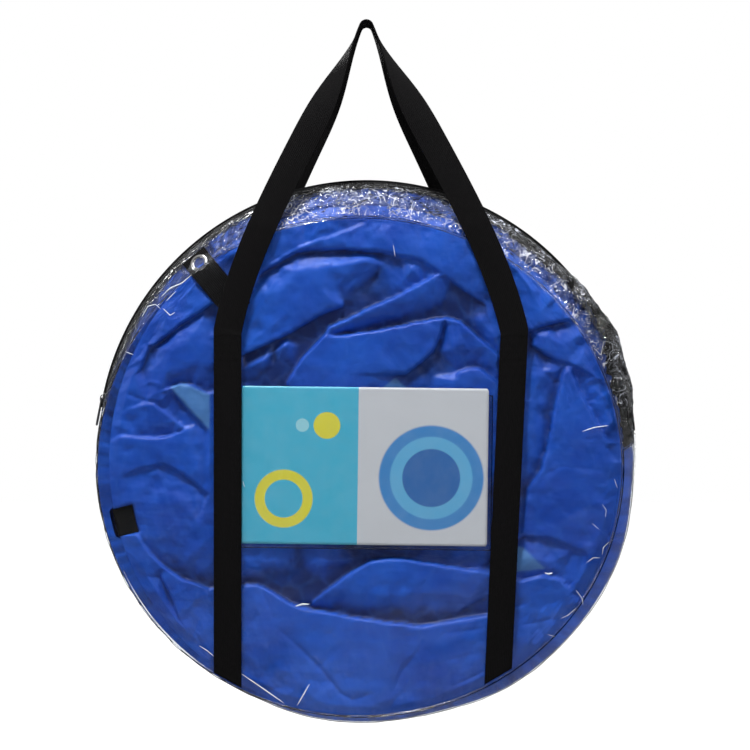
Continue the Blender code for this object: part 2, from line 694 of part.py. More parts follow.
def tunnel_pleats():
    """The tube's cloth between the turns, folded inwards in one bay for each space between two turns."""
    outer, inner = PLEAT_RADIUS, PLEAT_RADIUS - BAY_DEPTH
    last = 2 * WIRE_TURNS - 2
    outside, inside = [], []
    for step in range(last + 1):
        y = FIRST_TURN_Y + (LAST_TURN_Y - FIRST_TURN_Y) * step / last
        if step % 2:
            inside += [(inner, y - BAY_CLOTH), (inner, y + BAY_CLOTH)]
            outside.append((inner + PLEAT_EDGE, y))
        else:
            outside += [(outer, y - BAY_CLOTH), (outer, y + BAY_CLOTH)]
            if 0 < step < last:
                inside.append((outer - PLEAT_EDGE, y))
    turned("tunnel_pleats", outside[::-1] + inside, PLEAT_STEPS, BLUE_NYLON, tunnel_axis(0))


def tunnel_hems():
    """The bound edges of the two mouths."""
    inner, outer = TUNNEL_RADIUS - HEM_WIDTH, TUNNEL_RADIUS
    spans = (
        ("tunnel_front_hem", FRONT_HEM_Y - HEM_THICKNESS, FRONT_HEM_Y),
        ("tunnel_rear_hem", REAR_HEM_Y, REAR_HEM_Y + HEM_THICKNESS),
    )
    for name, low, high in spans:
        profile = [(inner, high), (outer, high), (outer, low), (inner, low)]
        turned(name, profile, HEM_STEPS, BLUE_NYLON, tunnel_axis(0))


def fold_height(x, z, folds):
    """Sum of the folds at points from the bag's middle: each is a bell across its line, and fades past its ends."""
    total = np.zeros_like(x)
    for x1, z1, x2, z2, width, height in folds:
        length = math.hypot(x2 - x1, z2 - z1)
        ux, uz = (x2 - x1) / length, (z2 - z1) / length
        along = (x - x1) * ux + (z - z1) * uz
        across = (x - x1) * -uz + (z - z1) * ux
        past = np.maximum(np.maximum(-along, along - length), 0)
        total += height * np.exp(-(across**2 + past**2) / width**2)
    return total


def mouth_cloth(name, rim_y, billow, folds, facing):
    """The loose cloth across a mouth: a square grid pressed into a round one, billowed to its middle and folded."""
    line = np.linspace(-1, 1, CLOTH_CELLS)
    across, up = np.meshgrid(line, line, indexing="ij")
    x = across * np.sqrt(1 - up**2 / 2) * CLOTH_RADIUS
    z = up * np.sqrt(1 - across**2 / 2) * CLOTH_RADIUS
    radius = np.hypot(x, z) / CLOTH_RADIUS
    lift = billow * (1 - radius**BILLOW_SHARPNESS)
    rim = smooth((1 - radius) / RIM_FADE)
    folded = fold_height(x + TUNNEL_SHIFT_X, z + TUNNEL_Z - MIDDLE_Z, folds) * rim
    y = rim_y + facing * (lift + folded)
    points = np.stack([x + TUNNEL_SHIFT_X, y, z + TUNNEL_Z], axis=-1)
    sheet(name, points, CLOTH_THICKNESS, BLUE_NYLON)


def mouth_cloths():
    """The folded cloth of both mouths, each set just off the last pleat."""
    off = BAY_CLOTH + CLOTH_THICKNESS / 2 + GAP
    front_rim = FIRST_TURN_Y - off - HEM_THICKNESS / 2
    rear_rim = LAST_TURN_Y + off
    mouth_cloth("tunnel_front_cloth", front_rim, FRONT_BILLOW, FRONT_FOLDS, -1)
    mouth_cloth("tunnel_rear_cloth", rear_rim, REAR_BILLOW, REAR_FOLDS, 1)


def radial_frame(angle):
    """Frame on the packed tunnel's axis whose X axis points out at an angle and whose Z axis points to the rear."""
    out = Vector((math.cos(angle), 0, math.sin(angle)))
    back = Vector((0, 1, 0))
    turn = Matrix((out, back.cross(out), back)).transposed().to_4x4()
    return Matrix.Translation((TUNNEL_SHIFT_X, 0, TUNNEL_Z)) @ turn


def webbing_tab(name, frame, path, eyelet_place, label):
    """A tab of webbing along a path of radius and depth in its radial frame, holed for its eyelet, with the eyelet
    and its washer. eyelet_place has its Z axis out of the face that shows."""
    half = TAB_WIDTH / 2
    rows = [[frame @ Vector((r, side * half, y)) for side in (-1, 1)] for r, y in path]
    tab = sheet(name, np.array(rows), TAB_WEBBING, BLACK_WEBBING)
    barrel = EYELET_HOLE_RADIUS + EYELET_WALL
    hole = barrel + GAP
    combine(tab, helper_cylinder(f"{name}_hole", hole, half, eyelet_place), "DIFFERENCE")
    face = TAB_WEBBING / 2 + GAP / 2
    top = face + EYELET_FLANGE
    bore = EYELET_HOLE_RADIUS
    flange = EYELET_FLANGE_RADIUS
    eyelet = [(bore, top), (flange, top), (flange, face), (barrel, face), (barrel, -top), (bore, -top)]
    turned(f"eyelet_{label}", eyelet, EYELET_STEPS, NICKEL, eyelet_place)
    ring = [(barrel + GAP, -face), (flange, -face), (flange, -top), (barrel + GAP, -top)]
    turned(f"washer_{label}", ring, EYELET_STEPS, NICKEL, eyelet_place)


def front_tabs():
    """The upper tab, whose eyelet end leans back over the tunnel's edge, and the side tab, which wraps round it."""
    frame = radial_frame(UPPER_TAB_ANGLE)
    flange_end_r = TUNNEL_RADIUS + UPPER_EYELET_REACH
    eyelet_r = flange_end_r - EYELET_FLANGE_RADIUS
    bend_r = eyelet_r - EYELET_FLANGE_RADIUS - UPPER_TAB_BEND
    end_r = flange_end_r + UPPER_TAB_MARGIN
    foot_r = end_r - UPPER_TAB_LENGTH
    flat_r = bend_r - UPPER_TAB_EASE
    # The slope runs from just above the foot, which lies behind the front panel, to just clear of the hem's corner
    foot_y = FRONT_Y + VINYL + UPPER_TAB_ROOM + TAB_WEBBING / 2
    bend_y = foot_y + UPPER_TAB_STEP
    corner_y = FRONT_HEM_Y - HEM_THICKNESS
    climb = corner_y - EYELET_HALF_HEIGHT - GAP - bend_y
    slope = climb / (TUNNEL_RADIUS - bend_r + EYELET_FLANGE_RADIUS * UPPER_EYELET_LEAN)

    def on_slope(r):
        """Depth of the leaning end at radius r."""
        return bend_y + (r - bend_r) * slope

    path = [(end_r, on_slope(end_r)), (bend_r, on_slope(bend_r)), (flat_r, foot_y), (foot_r, foot_y)]
    lean = Matrix.Rotation(-math.atan(slope), 4, "Y")
    flip = Matrix.Rotation(math.pi, 4, "X")
    place = frame @ Matrix.Translation((eyelet_r, 0, on_slope(eyelet_r))) @ lean @ flip
    webbing_tab("tab_front_upper", frame, path, place, "front_upper")

    frame = radial_frame(SIDE_TAB_ANGLE)
    side_r = TUNNEL_RADIUS + GAP + EYELET_HALF_HEIGHT
    front_y = corner_y - 2 * GAP - TAB_WEBBING / 2
    end_y = front_y + SIDE_TAB_DEPTH
    path = [
        (side_r - SIDE_TAB_REACH, front_y),
        (side_r - SIDE_TAB_WRAP, front_y),
        (side_r, front_y + SIDE_TAB_WRAP),
        (side_r, end_y),
    ]
    middle_y = end_y - TAB_WIDTH / 2
    turn = Matrix.Rotation(math.pi / 2, 4, "Y")
    place = frame @ Matrix.Translation((side_r, 0, middle_y)) @ turn
    webbing_tab("tab_front_side", frame, path, place, "front_side")


def rear_tabs():
    """The two tabs of the rear mouth, folded inwards flat behind its cloth."""
    tab_y = REAR_HEM_Y + HEM_THICKNESS + GAP + TAB_WEBBING / 2
    start = TUNNEL_RADIUS - GAP
    for angle, label in zip(REAR_TAB_ANGLES, ("rear_right", "rear_left")):
        frame = radial_frame(angle)
        path = [(start, tab_y), (start - REAR_TAB_LENGTH, tab_y)]
        place = frame @ Matrix.Translation((start - REAR_EYELET_INSET, 0, tab_y))
        webbing_tab(f"tab_{label}", frame, path, place, label)


clear_scene()
PARTS = new_collection(COLLECTION_NAME)
HELPERS = new_collection("cutters")

CLEAR = new_material("clear_vinyl", (0.80, 0.86, 0.92), 0.12, alpha=0.35)
BLACK_TAPE = new_material("zip_tape", (0.02, 0.02, 0.022), 0.8)
BLACK_COIL = new_material("zip_coil", (0.03, 0.03, 0.03), 0.45)
DARK_METAL = new_material("zip_metal", (0.25, 0.25, 0.26), 0.35, metallic=1.0)
BLACK_WEBBING = new_material("black_webbing", (0.012, 0.011, 0.012), 0.75)
CARD = new_material("insert_card", (0.25, 0.62, 0.78), 0.4)
SPRING_STEEL = new_material("spring_steel", (0.45, 0.45, 0.46), 0.3, metallic=1.0)
BLUE_NYLON = new_material("blue_nylon", (0.03, 0.13, 0.62), 0.5)
NICKEL = new_material("nickel", (0.7, 0.7, 0.72), 0.22, metallic=1.0)

bag_panels()
bag_gussets()
zip_tapes()
zip_coils()
zip_stops()
slider_place = zip_slider()
zip_pull(slider_place)
straps()
handles()
card_and_pocket()
tunnel_wire()
tunnel_pleats()
tunnel_hems()
mouth_cloths()
front_tabs()
rear_tabs()
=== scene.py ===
"""A pop-open pet play tunnel of blue nylon, packed flat in its round clear carry bag and hung by two webbing
handles.

Metres, +Z up. The origin is the hanging point under both handles. The bag's round axis runs along Y, and its
front panel faces -Y."""

import functools
import math

import bmesh
import bpy
import numpy as np
from mathutils import Matrix, Vector
from mathutils.geometry import delaunay_2d_cdt


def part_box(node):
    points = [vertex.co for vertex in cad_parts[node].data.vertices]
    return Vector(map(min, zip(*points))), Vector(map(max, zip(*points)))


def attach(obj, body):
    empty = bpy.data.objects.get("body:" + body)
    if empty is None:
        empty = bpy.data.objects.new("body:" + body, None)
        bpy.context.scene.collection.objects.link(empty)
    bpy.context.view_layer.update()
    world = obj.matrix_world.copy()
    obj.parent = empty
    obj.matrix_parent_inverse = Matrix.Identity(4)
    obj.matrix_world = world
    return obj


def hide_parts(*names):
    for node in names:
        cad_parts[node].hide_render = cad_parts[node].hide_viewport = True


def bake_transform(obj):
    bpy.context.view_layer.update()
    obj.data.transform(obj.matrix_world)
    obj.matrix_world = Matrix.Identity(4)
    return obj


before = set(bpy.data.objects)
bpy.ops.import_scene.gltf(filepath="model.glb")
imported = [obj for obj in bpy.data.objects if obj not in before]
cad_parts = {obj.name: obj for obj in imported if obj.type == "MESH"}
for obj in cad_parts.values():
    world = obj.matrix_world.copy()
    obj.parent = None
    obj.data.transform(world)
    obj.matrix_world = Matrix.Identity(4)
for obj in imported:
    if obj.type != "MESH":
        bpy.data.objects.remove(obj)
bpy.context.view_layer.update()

bl_info = {
    "name": "Packed Pet Play Tunnel",
    "version": (1, 0, 0),
    "blender": (4, 5, 0),
    "location": "View3D > Sidebar > Pet Tunnel",
    "description": "Builds a pop-open pet tunnel packed flat in its clear zipped bag",
    "category": "Add Mesh",
}

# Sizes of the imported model
GAP = 0.0003
TUNNEL_RADIUS = 0.2285
TUNNEL_X = -0.002
TUNNEL_Z = -0.3945
WIRE_RADIUS = 0.00125
WIRE_TURNS = 8
WIRE_PITCH = 0.0036
WIRE_START = math.radians(60)
FIRST_TURN_Y = -0.0112
LAST_TURN_Y = FIRST_TURN_Y + WIRE_TURNS * WIRE_PITCH
COIL_LINE_RADIUS = TUNNEL_RADIUS - WIRE_RADIUS
MIDDLE_Z = -0.385
FRONT_Y, BACK_Y = -0.025, 0.025
REAR_RADIUS, MID_RADIUS = 0.2445, 0.2385
FRONT_HALF_WIDTH, FRONT_HALF_HEIGHT = 0.2355, 0.2235
FRONT_SHIFT_X, FRONT_SAG = -0.006, 0.0145
GUSSET_BELLY = 0.0065
ZIP_RIGHT, ZIP_LEFT = math.radians(4), math.radians(171)
ZIP_SLANT = math.hypot(BACK_Y, REAR_RADIUS - MID_RADIUS)
SLIDER_ANGLE = math.radians(168.96)
VINYL = 0.0004
WEBBING = 0.0013
WEBBING_WIDTH = 0.0254
SEWN_Z = -0.278
HOOK_RADIUS = 0.005
HANDLE_BOW = 0.0098
HANDLE_TWIST = 0.115
HANDLE_DRIFT = 0.053
FRONT_STRAPS = ((-0.1243, -0.1243), (0.1325, 0.1180))
REAR_STRAPS = ((-0.1140, -0.1140), (0.1140, 0.1140))
CARD_WIDTH, CARD_HEIGHT = 0.2216, 0.1415
CARD_X, CARD_Z, CARD_TILT = -0.0018, -0.0138, math.radians(-0.7)
EYELET_HOLE, EYELET_FLANGE = 0.0050, 0.0085
MOUTH_RADIUS = 0.2296
REAR_MOUTH_RADIUS = 0.2232
UPPER_TAB_ANGLE, SIDE_TAB_ANGLE = 129.8, 194
GATHER_RADIUS, SIDE_RADIUS, TEETH_RADIUS, STITCH_RADIUS = 0.235, 0.24, 0.2415, 0.242
FLOOR_Z, FLOOR_HALF = -0.70, 6.0
TURN = 2 * math.pi
CLOTH_MIDDLE_Y, CLOTH_HALF = -0.0184, 0.0056
CLOTH_GRID, COARSE_GRID = 290, 97
TAB_WIDTH = 0.025

# The scale and middle of the view: one picture point of 750 is this many metres at the bag's middle plane
PICTURE_POINT = 0.0009045
VIEW_X, VIEW_Z = 0.0077, -0.3172
VIEW_DISTANCE = 2.6


def picture(px, py):
    """Metres from the tunnel's middle for a place given in the view's 750 points across and down."""
    x = VIEW_X + (px - 375) * PICTURE_POINT - TUNNEL_X
    z = VIEW_Z + (375 - py) * PICTURE_POINT - TUNNEL_Z
    return x, z


# The front mouth's loose cloth. FOLD_EDGES are corners in view points, each with the cloth's height in
# millimetres just left and just right of the line as it runs. FACET_POINTS are places between them with their
# height. GROOVES are corners, half width and height in metres, and 1 where one side is higher than the other.
FOLD_EDGES = (
    ((262, 273, 1, -2), (284, 261, 1.6, -2.8), (300, 252, 1.6, -2.8), (345, 250, 1.8, -2.8),
     (385, 254, 1.8, -2.6), (420, 260, 1.6, -2.2), (442, 275, 1.5, -1.6), (462, 290, 0.6, -2),
     (485, 305, 0.2, -1.5)),
    ((275, 262, 0.3, 1.8), (300, 247, 0.3, 2), (345, 232, 0.3, 1.8), (365, 224, 0, 0.8)),
    ((243, 356, 1.6, -3), (262, 347, 1.6, -3.2), (280, 339, 1.6, -3.2), (300, 328, 1.6, -3.4),
     (320, 316, 1.3, -3.4), (343, 307, 0.4, -3)),
    ((329, 327, -2.6, 2.2), (345, 321, -2.8, 2.8), (370, 308, -2.6, 3.2), (395, 298, -2.2, 3.2),
     (415, 287, -1.8, 3.2), (430, 279, -1.2, 3), (440, 275, -0.6, 2)),
    ((336, 336, -1.6, 2.6), (345, 335, -2.8, 3.2), (370, 332, -3.2, 3.4), (400, 326, -3.4, 3.5),
     (430, 320, -3.2, 3.5), (445, 318, -2.8, 3.4), (458, 320, -2.6, 3), (470, 331, -2.2, 3),
     (485, 344, -1.8, 2.6), (498, 356, -1.2, 2)),
    ((287, 383, -1.4, 2.4), (295, 370, -1.8, 2.8), (303, 357, -2.2, 3), (315, 345, -2.6, 3),
     (325, 335, -2.6, 2.8)),
    ((443, 323, -1.2, 2.8), (440, 335, -1.8, 2.6), (433, 352, -2.2, 2.4), (420, 363, -2.2, 2),
     (404, 375, -1.5, 1.5)),
    ((457, 372, -1.4, 2), (475, 366, -1.8, 2), (497, 382, -1.2, 1.5)),
    ((143, 368, 0.5, -1.6), (150, 350, 1, -2.2), (165, 338, 1.3, -2.4), (185, 322, 1.3, -2.4),
     (205, 310, 1.1, -2.2), (219, 299, 0.8, -1.6)),
    ((172, 387, -1.8, 1.8), (186, 382, -1.8, 2), (210, 393, -1.5, 2)),
    ((176, 394, 1.6, -1.2), (190, 409, 1.6, -1.2), (209, 430, 1.2, -1)),
    ((156, 404, -1.2, 1.3), (170, 414, -1.2, 1.5), (184, 426, -0.8, 1.2)),
    ((184, 431, 1.6, -1.2), (160, 438, 1.8, -1.4), (122, 435, 1.2, -0.9)),
    ((140, 468, 0.9, -1.2), (165, 463, 1, -1.6), (186, 474, 1, -1.8), (209, 493, 0.8, -1.6)),
    ((133, 525, -0.9, 0.9), (150, 550, -1.4, 1.4), (165, 565, -1.7, 1.7), (185, 578, -1.8, 1.8),
     (211, 587, -1.6, 1.6)),
    ((163, 576, 1.4, -1), (175, 600, 1.4, -1.2), (180, 616, 0.8, -0.6)),
    ((530, 331, 1.2, -1.7), (545, 325, 1.6, -2.2), (560, 322, 1.6, -2.2), (572, 320, 1, -1.3)),
    ((531, 346, 1.2, -1.8), (542, 353, 1.4, -2), (552, 360, 1.2, -1.8), (568, 363, 1, -1.2),
     (585, 372, 1, -1.4), (598, 380, 0.6, -0.8)),
    ((570, 371, -1.2, 1.4), (575, 385, -1.5, 1.8), (583, 400, -1.6, 2), (597, 425, -1.4, 2),
     (605, 446, -0.8, 1.4)),
    ((561, 374, 1.6, -1.6), (556, 395, 2, -1.9), (552, 415, 2.2, -2), (548, 440, 2.2, -2),
     (540, 470, 1.8, -1.8), (526, 488, 1.2, -1.2)),
    ((521, 535, 1.1, -1.4), (550, 537, 1.2, -1.6), (582, 551, 0.8, -1)),
    ((521, 579, -1.6, 1.8), (540, 574, -1.8, 2), (560, 578, -1.6, 2), (577, 600, -1, 1.2)),
    ((243, 584, -1.6, 1.5), (256, 582, -2.2, 2), (270, 588, -2.4, 2.4), (285, 598, -2.8, 2.8),
     (298, 605, -2.8, 2.8), (320, 609, -2.8, 2.8), (345, 614, -3, 2.8), (370, 618, -3, 3),
     (400, 622, -3, 2.8), (420, 624, -2.8, 2.6), (455, 618, -2.4, 2.4), (485, 613, -1.6, 2)),
    ((314, 599, -2, 1.5), (330, 586, -2.6, 2.8), (350, 571, -2.8, 3.1), (370, 560, -2.6, 3.3),
     (385, 557, -2, 3.3), (400, 557, -1.8, 3.1), (430, 562, -1.5, 2.9), (460, 567, -1.4, 2.7),
     (485, 570, -1.2, 2.3)),
)
FACET_POINTS = (
    (300, 272, 2.8), (330, 268, 3.2), (365, 262, 2.4), (320, 285, 3.4), (285, 290, 2.6), (268, 312, 1.5),
    (300, 305, 2.8), (330, 300, 2), (360, 300, -2.2), (372, 280, -1.6), (385, 266, -1), (402, 282, -0.8),
    (412, 270, 1), (345, 300, -2), (245, 368, 0.6), (265, 359, 1.2), (285, 345, 0.8), (255, 381, -0.6),
    (275, 366, -1.2), (300, 346, -1.8), (350, 352, 3), (350, 374, 2.4), (392, 350, 3), (398, 366, 2),
    (420, 345, 2.8), (449, 326, 1.5), (452, 350, 2.6), (455, 381, 2.4), (465, 352, 0.4), (478, 350, 1.2),
    (430, 376, -1), (462, 268, 1.6), (450, 262, 2), (475, 282, 1), (480, 322, 0.4), (495, 338, 0.8),
    (400, 238, 1.2), (440, 240, 1.4), (330, 240, 1.4), (250, 320, 0.2), (248, 300, 0.8), (175, 352, 2.4),
    (195, 340, 2.8), (200, 365, 2.2), (168, 372, 1.8), (150, 300, 1.6), (170, 280, 1.6), (190, 292, 1.2),
    (130, 330, 1), (125, 357, 0.4), (115, 382, 0.8), (150, 388, -1), (160, 392, 1.2), (148, 400, -1),
    (196, 405, 1.8), (118, 458, 0.1), (150, 453, 1), (190, 452, 1), (180, 502, 2.2), (200, 522, 2.2),
    (150, 502, 1.4), (160, 532, 1.8), (192, 548, 1.4), (124, 500, 0.8), (150, 592, 0.6), (200, 602, 0.9),
    (196, 628, 0.6), (530, 290, 2), (550, 302, 2.2), (540, 312, 2), (565, 306, 1.2), (545, 338, 2),
    (562, 345, 1.6), (577, 336, 1.2), (540, 372, 1.4), (554, 372, 1.6), (530, 402, 1), (535, 440, 1.1),
    (527, 466, 0.8), (575, 442, 2.4), (580, 482, 2), (562, 502, 1.6), (597, 470, 1.2), (600, 506, 0.8),
    (602, 396, 1.4), (612, 422, 0.6), (615, 462, 0.3), (540, 512, 0.9), (560, 526, 1.2), (530, 556, 1.4),
    (550, 562, 0.6), (530, 602, 1.8), (552, 622, 1), (535, 642, 0.6), (590, 562, 0.4), (275, 560, 0.6),
    (300, 566, -0.8), (322, 560, 1), (300, 586, -2), (284, 576, -1.2), (255, 566, 1), (360, 592, 1.2),
    (400, 592, 1), (440, 592, 1.3), (470, 592, 0.8), (330, 642, 2.2), (380, 652, 2.4), (430, 652, 2),
    (350, 677, 1.2), (268, 642, 1.4), (470, 652, 1.3), (300, 682, 0.5), (402, 690, 0.5), (300, 420, 0.3),
    (430, 420, 0.3), (300, 500, 0.3), (430, 500, 0.3), (360, 460, 0.3),
)
GROOVES = (
    (((277, 625), (300, 645), (320, 665), (340, 690), (352, 697), (377, 690)), 0.0022, -0.0016, 0),
    (((425, 628), (418, 648), (400, 672), (393, 690)), 0.003, -0.0011, 0),
    (((262, 585), (272, 612)), 0.0022, -0.0012, 0),
    (((243, 340), (262, 305), (278, 275)), 0.002, 0.0012, 1),
    (((250, 345), (290, 312)), 0.0024, 0.0007, 0),
    (((245, 370), (265, 359), (300, 336)), 0.0018, 0.0013, 1),
    (((262, 360), (292, 340)), 0.0018, 0.001, 1),
    (((380, 258), (376, 278), (362, 300)), 0.0034, -0.0011, 0),
    (((449, 322), (453, 350), (456, 384)), 0.002, 0.0012, 1),
    (((458, 322), (462, 340)), 0.0018, -0.0009, 0),
    (((392, 240), (396, 250)), 0.0014, -0.0008, 0),
    (((144, 386), (152, 382), (164, 385), (170, 394), (162, 400), (150, 398)), 0.0018, 0.0012, 0),
    (((148, 404), (151, 430)), 0.0018, -0.0014, 1),
    (((150, 402), (120, 390)), 0.0018, -0.001, 0),
    (((130, 345), (120, 372)), 0.0022, -0.001, 0),
    (((574, 368), (584, 348)), 0.0018, 0.0011, 1),
    (((590, 399), (622, 398)), 0.002, -0.001, 1),
    (((581, 430), (606, 425)), 0.0012, 0.0009, 0),
    (((530, 480), (560, 466), (600, 470)), 0.0026, -0.0007, 0),
    (((440, 632), (486, 626)), 0.0022, -0.0009, 0),
    (((436, 660), (486, 648)), 0.0022, -0.0009, 1),
    (((452, 684), (486, 668)), 0.002, -0.0009, 0),
    (((300, 628), (340, 630), (372, 626)), 0.0026, -0.0005, 0),
    (((176, 646), (208, 662)), 0.002, 0.0009, 0),
    (((516, 624), (560, 616)), 0.0022, -0.0008, 0),
    (((516, 648), (552, 632)), 0.0022, -0.0008, 1),
    (((455, 615), (470, 603), (486, 595)), 0.0022, -0.0012, 1),
)
# Painted glints of the front panel, short white strokes: corners in view points, and width in metres
STRAY_GLINT_STROKES = (
    (((201, 643), (209, 648), (216, 654)), 0.0008),
    (((243, 671), (262, 684), (285, 700)), 0.0012),
    (((310, 681), (305, 690), (298, 702)), 0.0011),
    (((296, 604), (303, 602), (310, 602)), 0.0016),
    (((580, 431), (592, 427), (606, 425)), 0.001),
    (((543, 571), (547, 572), (551, 571)), 0.0015),
    (((144, 318), (150, 307), (158, 305), (163, 310)), 0.0009),
    (((165, 309), (172, 316), (177, 313)), 0.0009),
    (((163, 298), (172, 289), (184, 284), (193, 276)), 0.0011),
    (((168, 302), (178, 292)), 0.0008),
    (((393, 246), (395, 258)), 0.0006),
    (((128, 352), (136, 355)), 0.0007),
    (((244, 480), (246, 486)), 0.0006),
    (((600, 503), (604, 509), (603, 516)), 0.0005),
    (((584, 561), (591, 556), (598, 556)), 0.0005),
    (((574, 588), (580, 596), (581, 603)), 0.0006),
    (((607, 540), (601, 546), (600, 553)), 0.0005),
    (((559, 616), (566, 613), (574, 606)), 0.0005),
    (((590, 522), (597, 528)), 0.0004),
    (((612, 478), (615, 487)), 0.0005),
    (((546, 632), (553, 634)), 0.0004),
)
# Places where one layer of cloth lies over nothing dark, clockwise in view points; there the cloth is painted
# paler, as lit through
SINGLE_LAYERS = (
    ((170, 386), (185, 382), (212, 394), (212, 432), (190, 410)),
    ((378, 390), (395, 377), (410, 390)),
    ((506, 541), (523, 546), (546, 568), (506, 572)),
)
# Short narrow ridges of the front panel that catch the light: two ends in view points, and height in metres
STRAY_RIDGES = (
    ((201, 644), (212, 651), 0.001), ((243, 671), (283, 699), 0.0013), ((310, 682), (298, 702), 0.0012),
    ((296, 605), (310, 603), 0.001), ((581, 430), (606, 425), 0.0012), ((248, 565), (262, 571), 0.0008),
    ((170, 300), (190, 290), 0.0008), ((152, 315), (168, 310), 0.0007), ((560, 520), (590, 500), 0.0008),
)
# The rear mouth's creases, written as the grooves are
REAR_CREASES = (
    (((190, 300), (290, 270), (400, 300), (520, 290)), 0.008, 0.0014, 1),
    (((260, 420), (340, 370), (450, 390), (540, 350)), 0.009, 0.0013, 1),
    (((200, 520), (300, 470), (420, 500)), 0.008, -0.0013, 1),
    (((320, 600), (400, 560), (520, 580)), 0.008, 0.0013, 1),
    (((150, 430), (200, 450), (250, 520)), 0.006, 0.0012, 1),
    (((480, 420), (560, 480), (580, 540)), 0.007, -0.0012, 1),
)


def length(name, description, default, low, high):
    """A length property."""
    return bpy.props.FloatProperty(
        name=name, description=description, default=default, min=low, max=high, unit="LENGTH",
    )


def colour(name, description, *default):
    """A colour property."""
    return bpy.props.FloatVectorProperty(
        name=name, description=description, default=default, subtype="COLOR", size=3, min=0, max=1,
    )


class TunnelSizes(bpy.types.PropertyGroup):
    """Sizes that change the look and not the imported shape"""

    cloth_wave: bpy.props.FloatProperty(
        name="Cloth slack", description="Share by which the loose cloth is longer than its space",
        default=0.018, min=0.0, max=0.1, subtype="FACTOR",
    )
    crinkle: length("Gusset crinkle", "Height of the crinkles in the clear strip", 0.0021, 0.0, 0.003)
    panel_wave: length("Panel wave", "Height of the slow waves in the clear panels", 0.0006, 0.0, 0.002)
    tooth_pitch: length("Tooth pitch", "Distance from one zip tooth to the next", 0.00135, 0.001, 0.004)
    stitch_pitch: length("Stitch pitch", "Distance from one stitch to the next", 0.0042, 0.002, 0.01)
    casing_wall: length("Casing wall", "Thickness of the cloth sleeve round the wire", 0.0002, 0.0001, 0.0003)


class TunnelColours(bpy.types.PropertyGroup):
    """Colours of the pieces"""

    nylon: colour("Nylon", "Colour of the tunnel's cloth", 0.0100, 0.104, 0.60)
    nylon_shade: colour("Nylon shade", "Colour of the cloth where its weave is tight", 0.0042, 0.056, 0.41)
    vinyl: colour("Clear vinyl", "Tint of the clear bag", 0.95, 0.97, 0.985)
    webbing: colour("Webbing", "Colour of the straps and tabs", 0.0030, 0.0027, 0.0031)
    zip_tape: colour("Zip tape", "Colour of the woven zip tapes", 0.0038, 0.0038, 0.0042)
    thread: colour("Thread", "Colour of the stitching", 0.0026, 0.0025, 0.0028)
    zip_metal: colour("Zip metal", "Colour of the slider and the stops", 0.16, 0.16, 0.17)
    nickel: colour("Nickel", "Colour of the eyelets", 0.72, 0.71, 0.70)
    spring_steel: colour("Spring steel", "Colour of the wire", 0.42, 0.43, 0.45)
    card_field: colour("Card field", "Colour of the card's wide field", 0.070, 0.49, 0.70)
    card_pale: colour("Card pale", "Colour of the card's pale field", 0.66, 0.68, 0.72)
    card_accent: colour("Card accent", "Colour of the card's round shapes", 0.80, 0.74, 0.06)


# Mesh making

def grid_mesh(name, points, uv=None, wrap_rows=False, wrap_columns=False):
    """Mesh of a grid of points of the shape rows, columns, 3, with one quad between each four neighbours.

    A wrapped direction closes on itself, and the open ends of a tube get a cap each. uv has one row or column
    more than points where that direction wraps. A closed mesh whose signed volume is negative has its faces
    turned."""
    rows, columns = points.shape[:2]
    spans = (np.arange(rows if wrap_rows else rows - 1), np.arange(columns if wrap_columns else columns - 1))
    row, column = np.meshgrid(*spans, indexing="ij")
    near = np.stack([row, row + 1, row + 1, row], -1).reshape(-1, 4)
    side = np.stack([column, column, column + 1, column + 1], -1).reshape(-1, 4)
    faces = (near % rows) * columns + side % columns
    flat = points.reshape(-1, 3)
    turned_in = False
    if wrap_columns:
        a, b, c, d = (flat[faces[:, k]] - flat.mean(axis=0) for k in range(4))
        turned_in = (a * np.cross(b, c)).sum() + (a * np.cross(c, d)).sum() < 0
    if turned_in:
        faces, near, side = faces[:, ::-1], near[:, ::-1], side[:, ::-1]
    polygons = faces.tolist()
    capped = wrap_columns and not wrap_rows
    order = np.arange(columns)[::-1 if turned_in else 1]
    if capped:
        polygons += [order.tolist(), (order[::-1] + (rows - 1) * columns).tolist()]
    mesh = bpy.data.meshes.new(name)
    mesh.from_pydata(flat.tolist(), [], polygons)
    if uv is not None:
        values = uv[near.ravel(), side.ravel()]
        if capped:
            values = np.concatenate([values, uv[0, order], uv[rows - 1, order[::-1]]])
        layer = mesh.uv_layers.new(name="UVMap")
        layer.uv.foreach_set("vector", values.astype(np.float32).ravel())
    mesh.shade_smooth()
    mesh.update()
    return mesh


def mark_points(mesh, name, values):
    """Gives each point of a mesh its number, which a material reads by the name."""
    layer = mesh.attributes.new(name, "FLOAT", "POINT")
    layer.data.foreach_set("value", values.astype(np.float32).ravel())
    return mesh


def shift_mesh(mesh, matrix):
    """Moves a mesh's points by a 4 by 4 matrix."""
    mesh.transform(matrix)
    return mesh


def linked(name, data):
    """A new object in the scene."""
    thing = bpy.data.objects.new(name, data)
    bpy.context.scene.collection.objects.link(thing)
    return thing


def discard(thing):
    """Removes a helper object and its mesh."""
    data = thing.data
    bpy.data.objects.remove(thing)
    bpy.data.meshes.remove(data)


def piece(name, mesh, material, body, nodes=()):
    """Links a mesh as a finished piece that rides on a body and stands for some nodes."""
    thing = linked(name, mesh)
    mesh.materials.append(material)
    if body:
        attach(thing, body)
    if nodes:
        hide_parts(*nodes)
    return thing


def thicken(thing, thickness):
    """Gives an open sheet its wall, centred on its surface."""
    shell = thing.modifiers.new("wall", "SOLIDIFY")
    shell.thickness = thickness
    shell.offset = 0.0
    return thing


def joined(name, meshes):
    """One mesh of several, each kept with its UVs."""
    whole = bmesh.new()
    for mesh in meshes:
        whole.from_mesh(mesh)
        bpy.data.meshes.remove(mesh)
    result = bpy.data.meshes.new(name)
    whole.to_mesh(result)
    whole.free()
    result.shade_smooth()
    return result


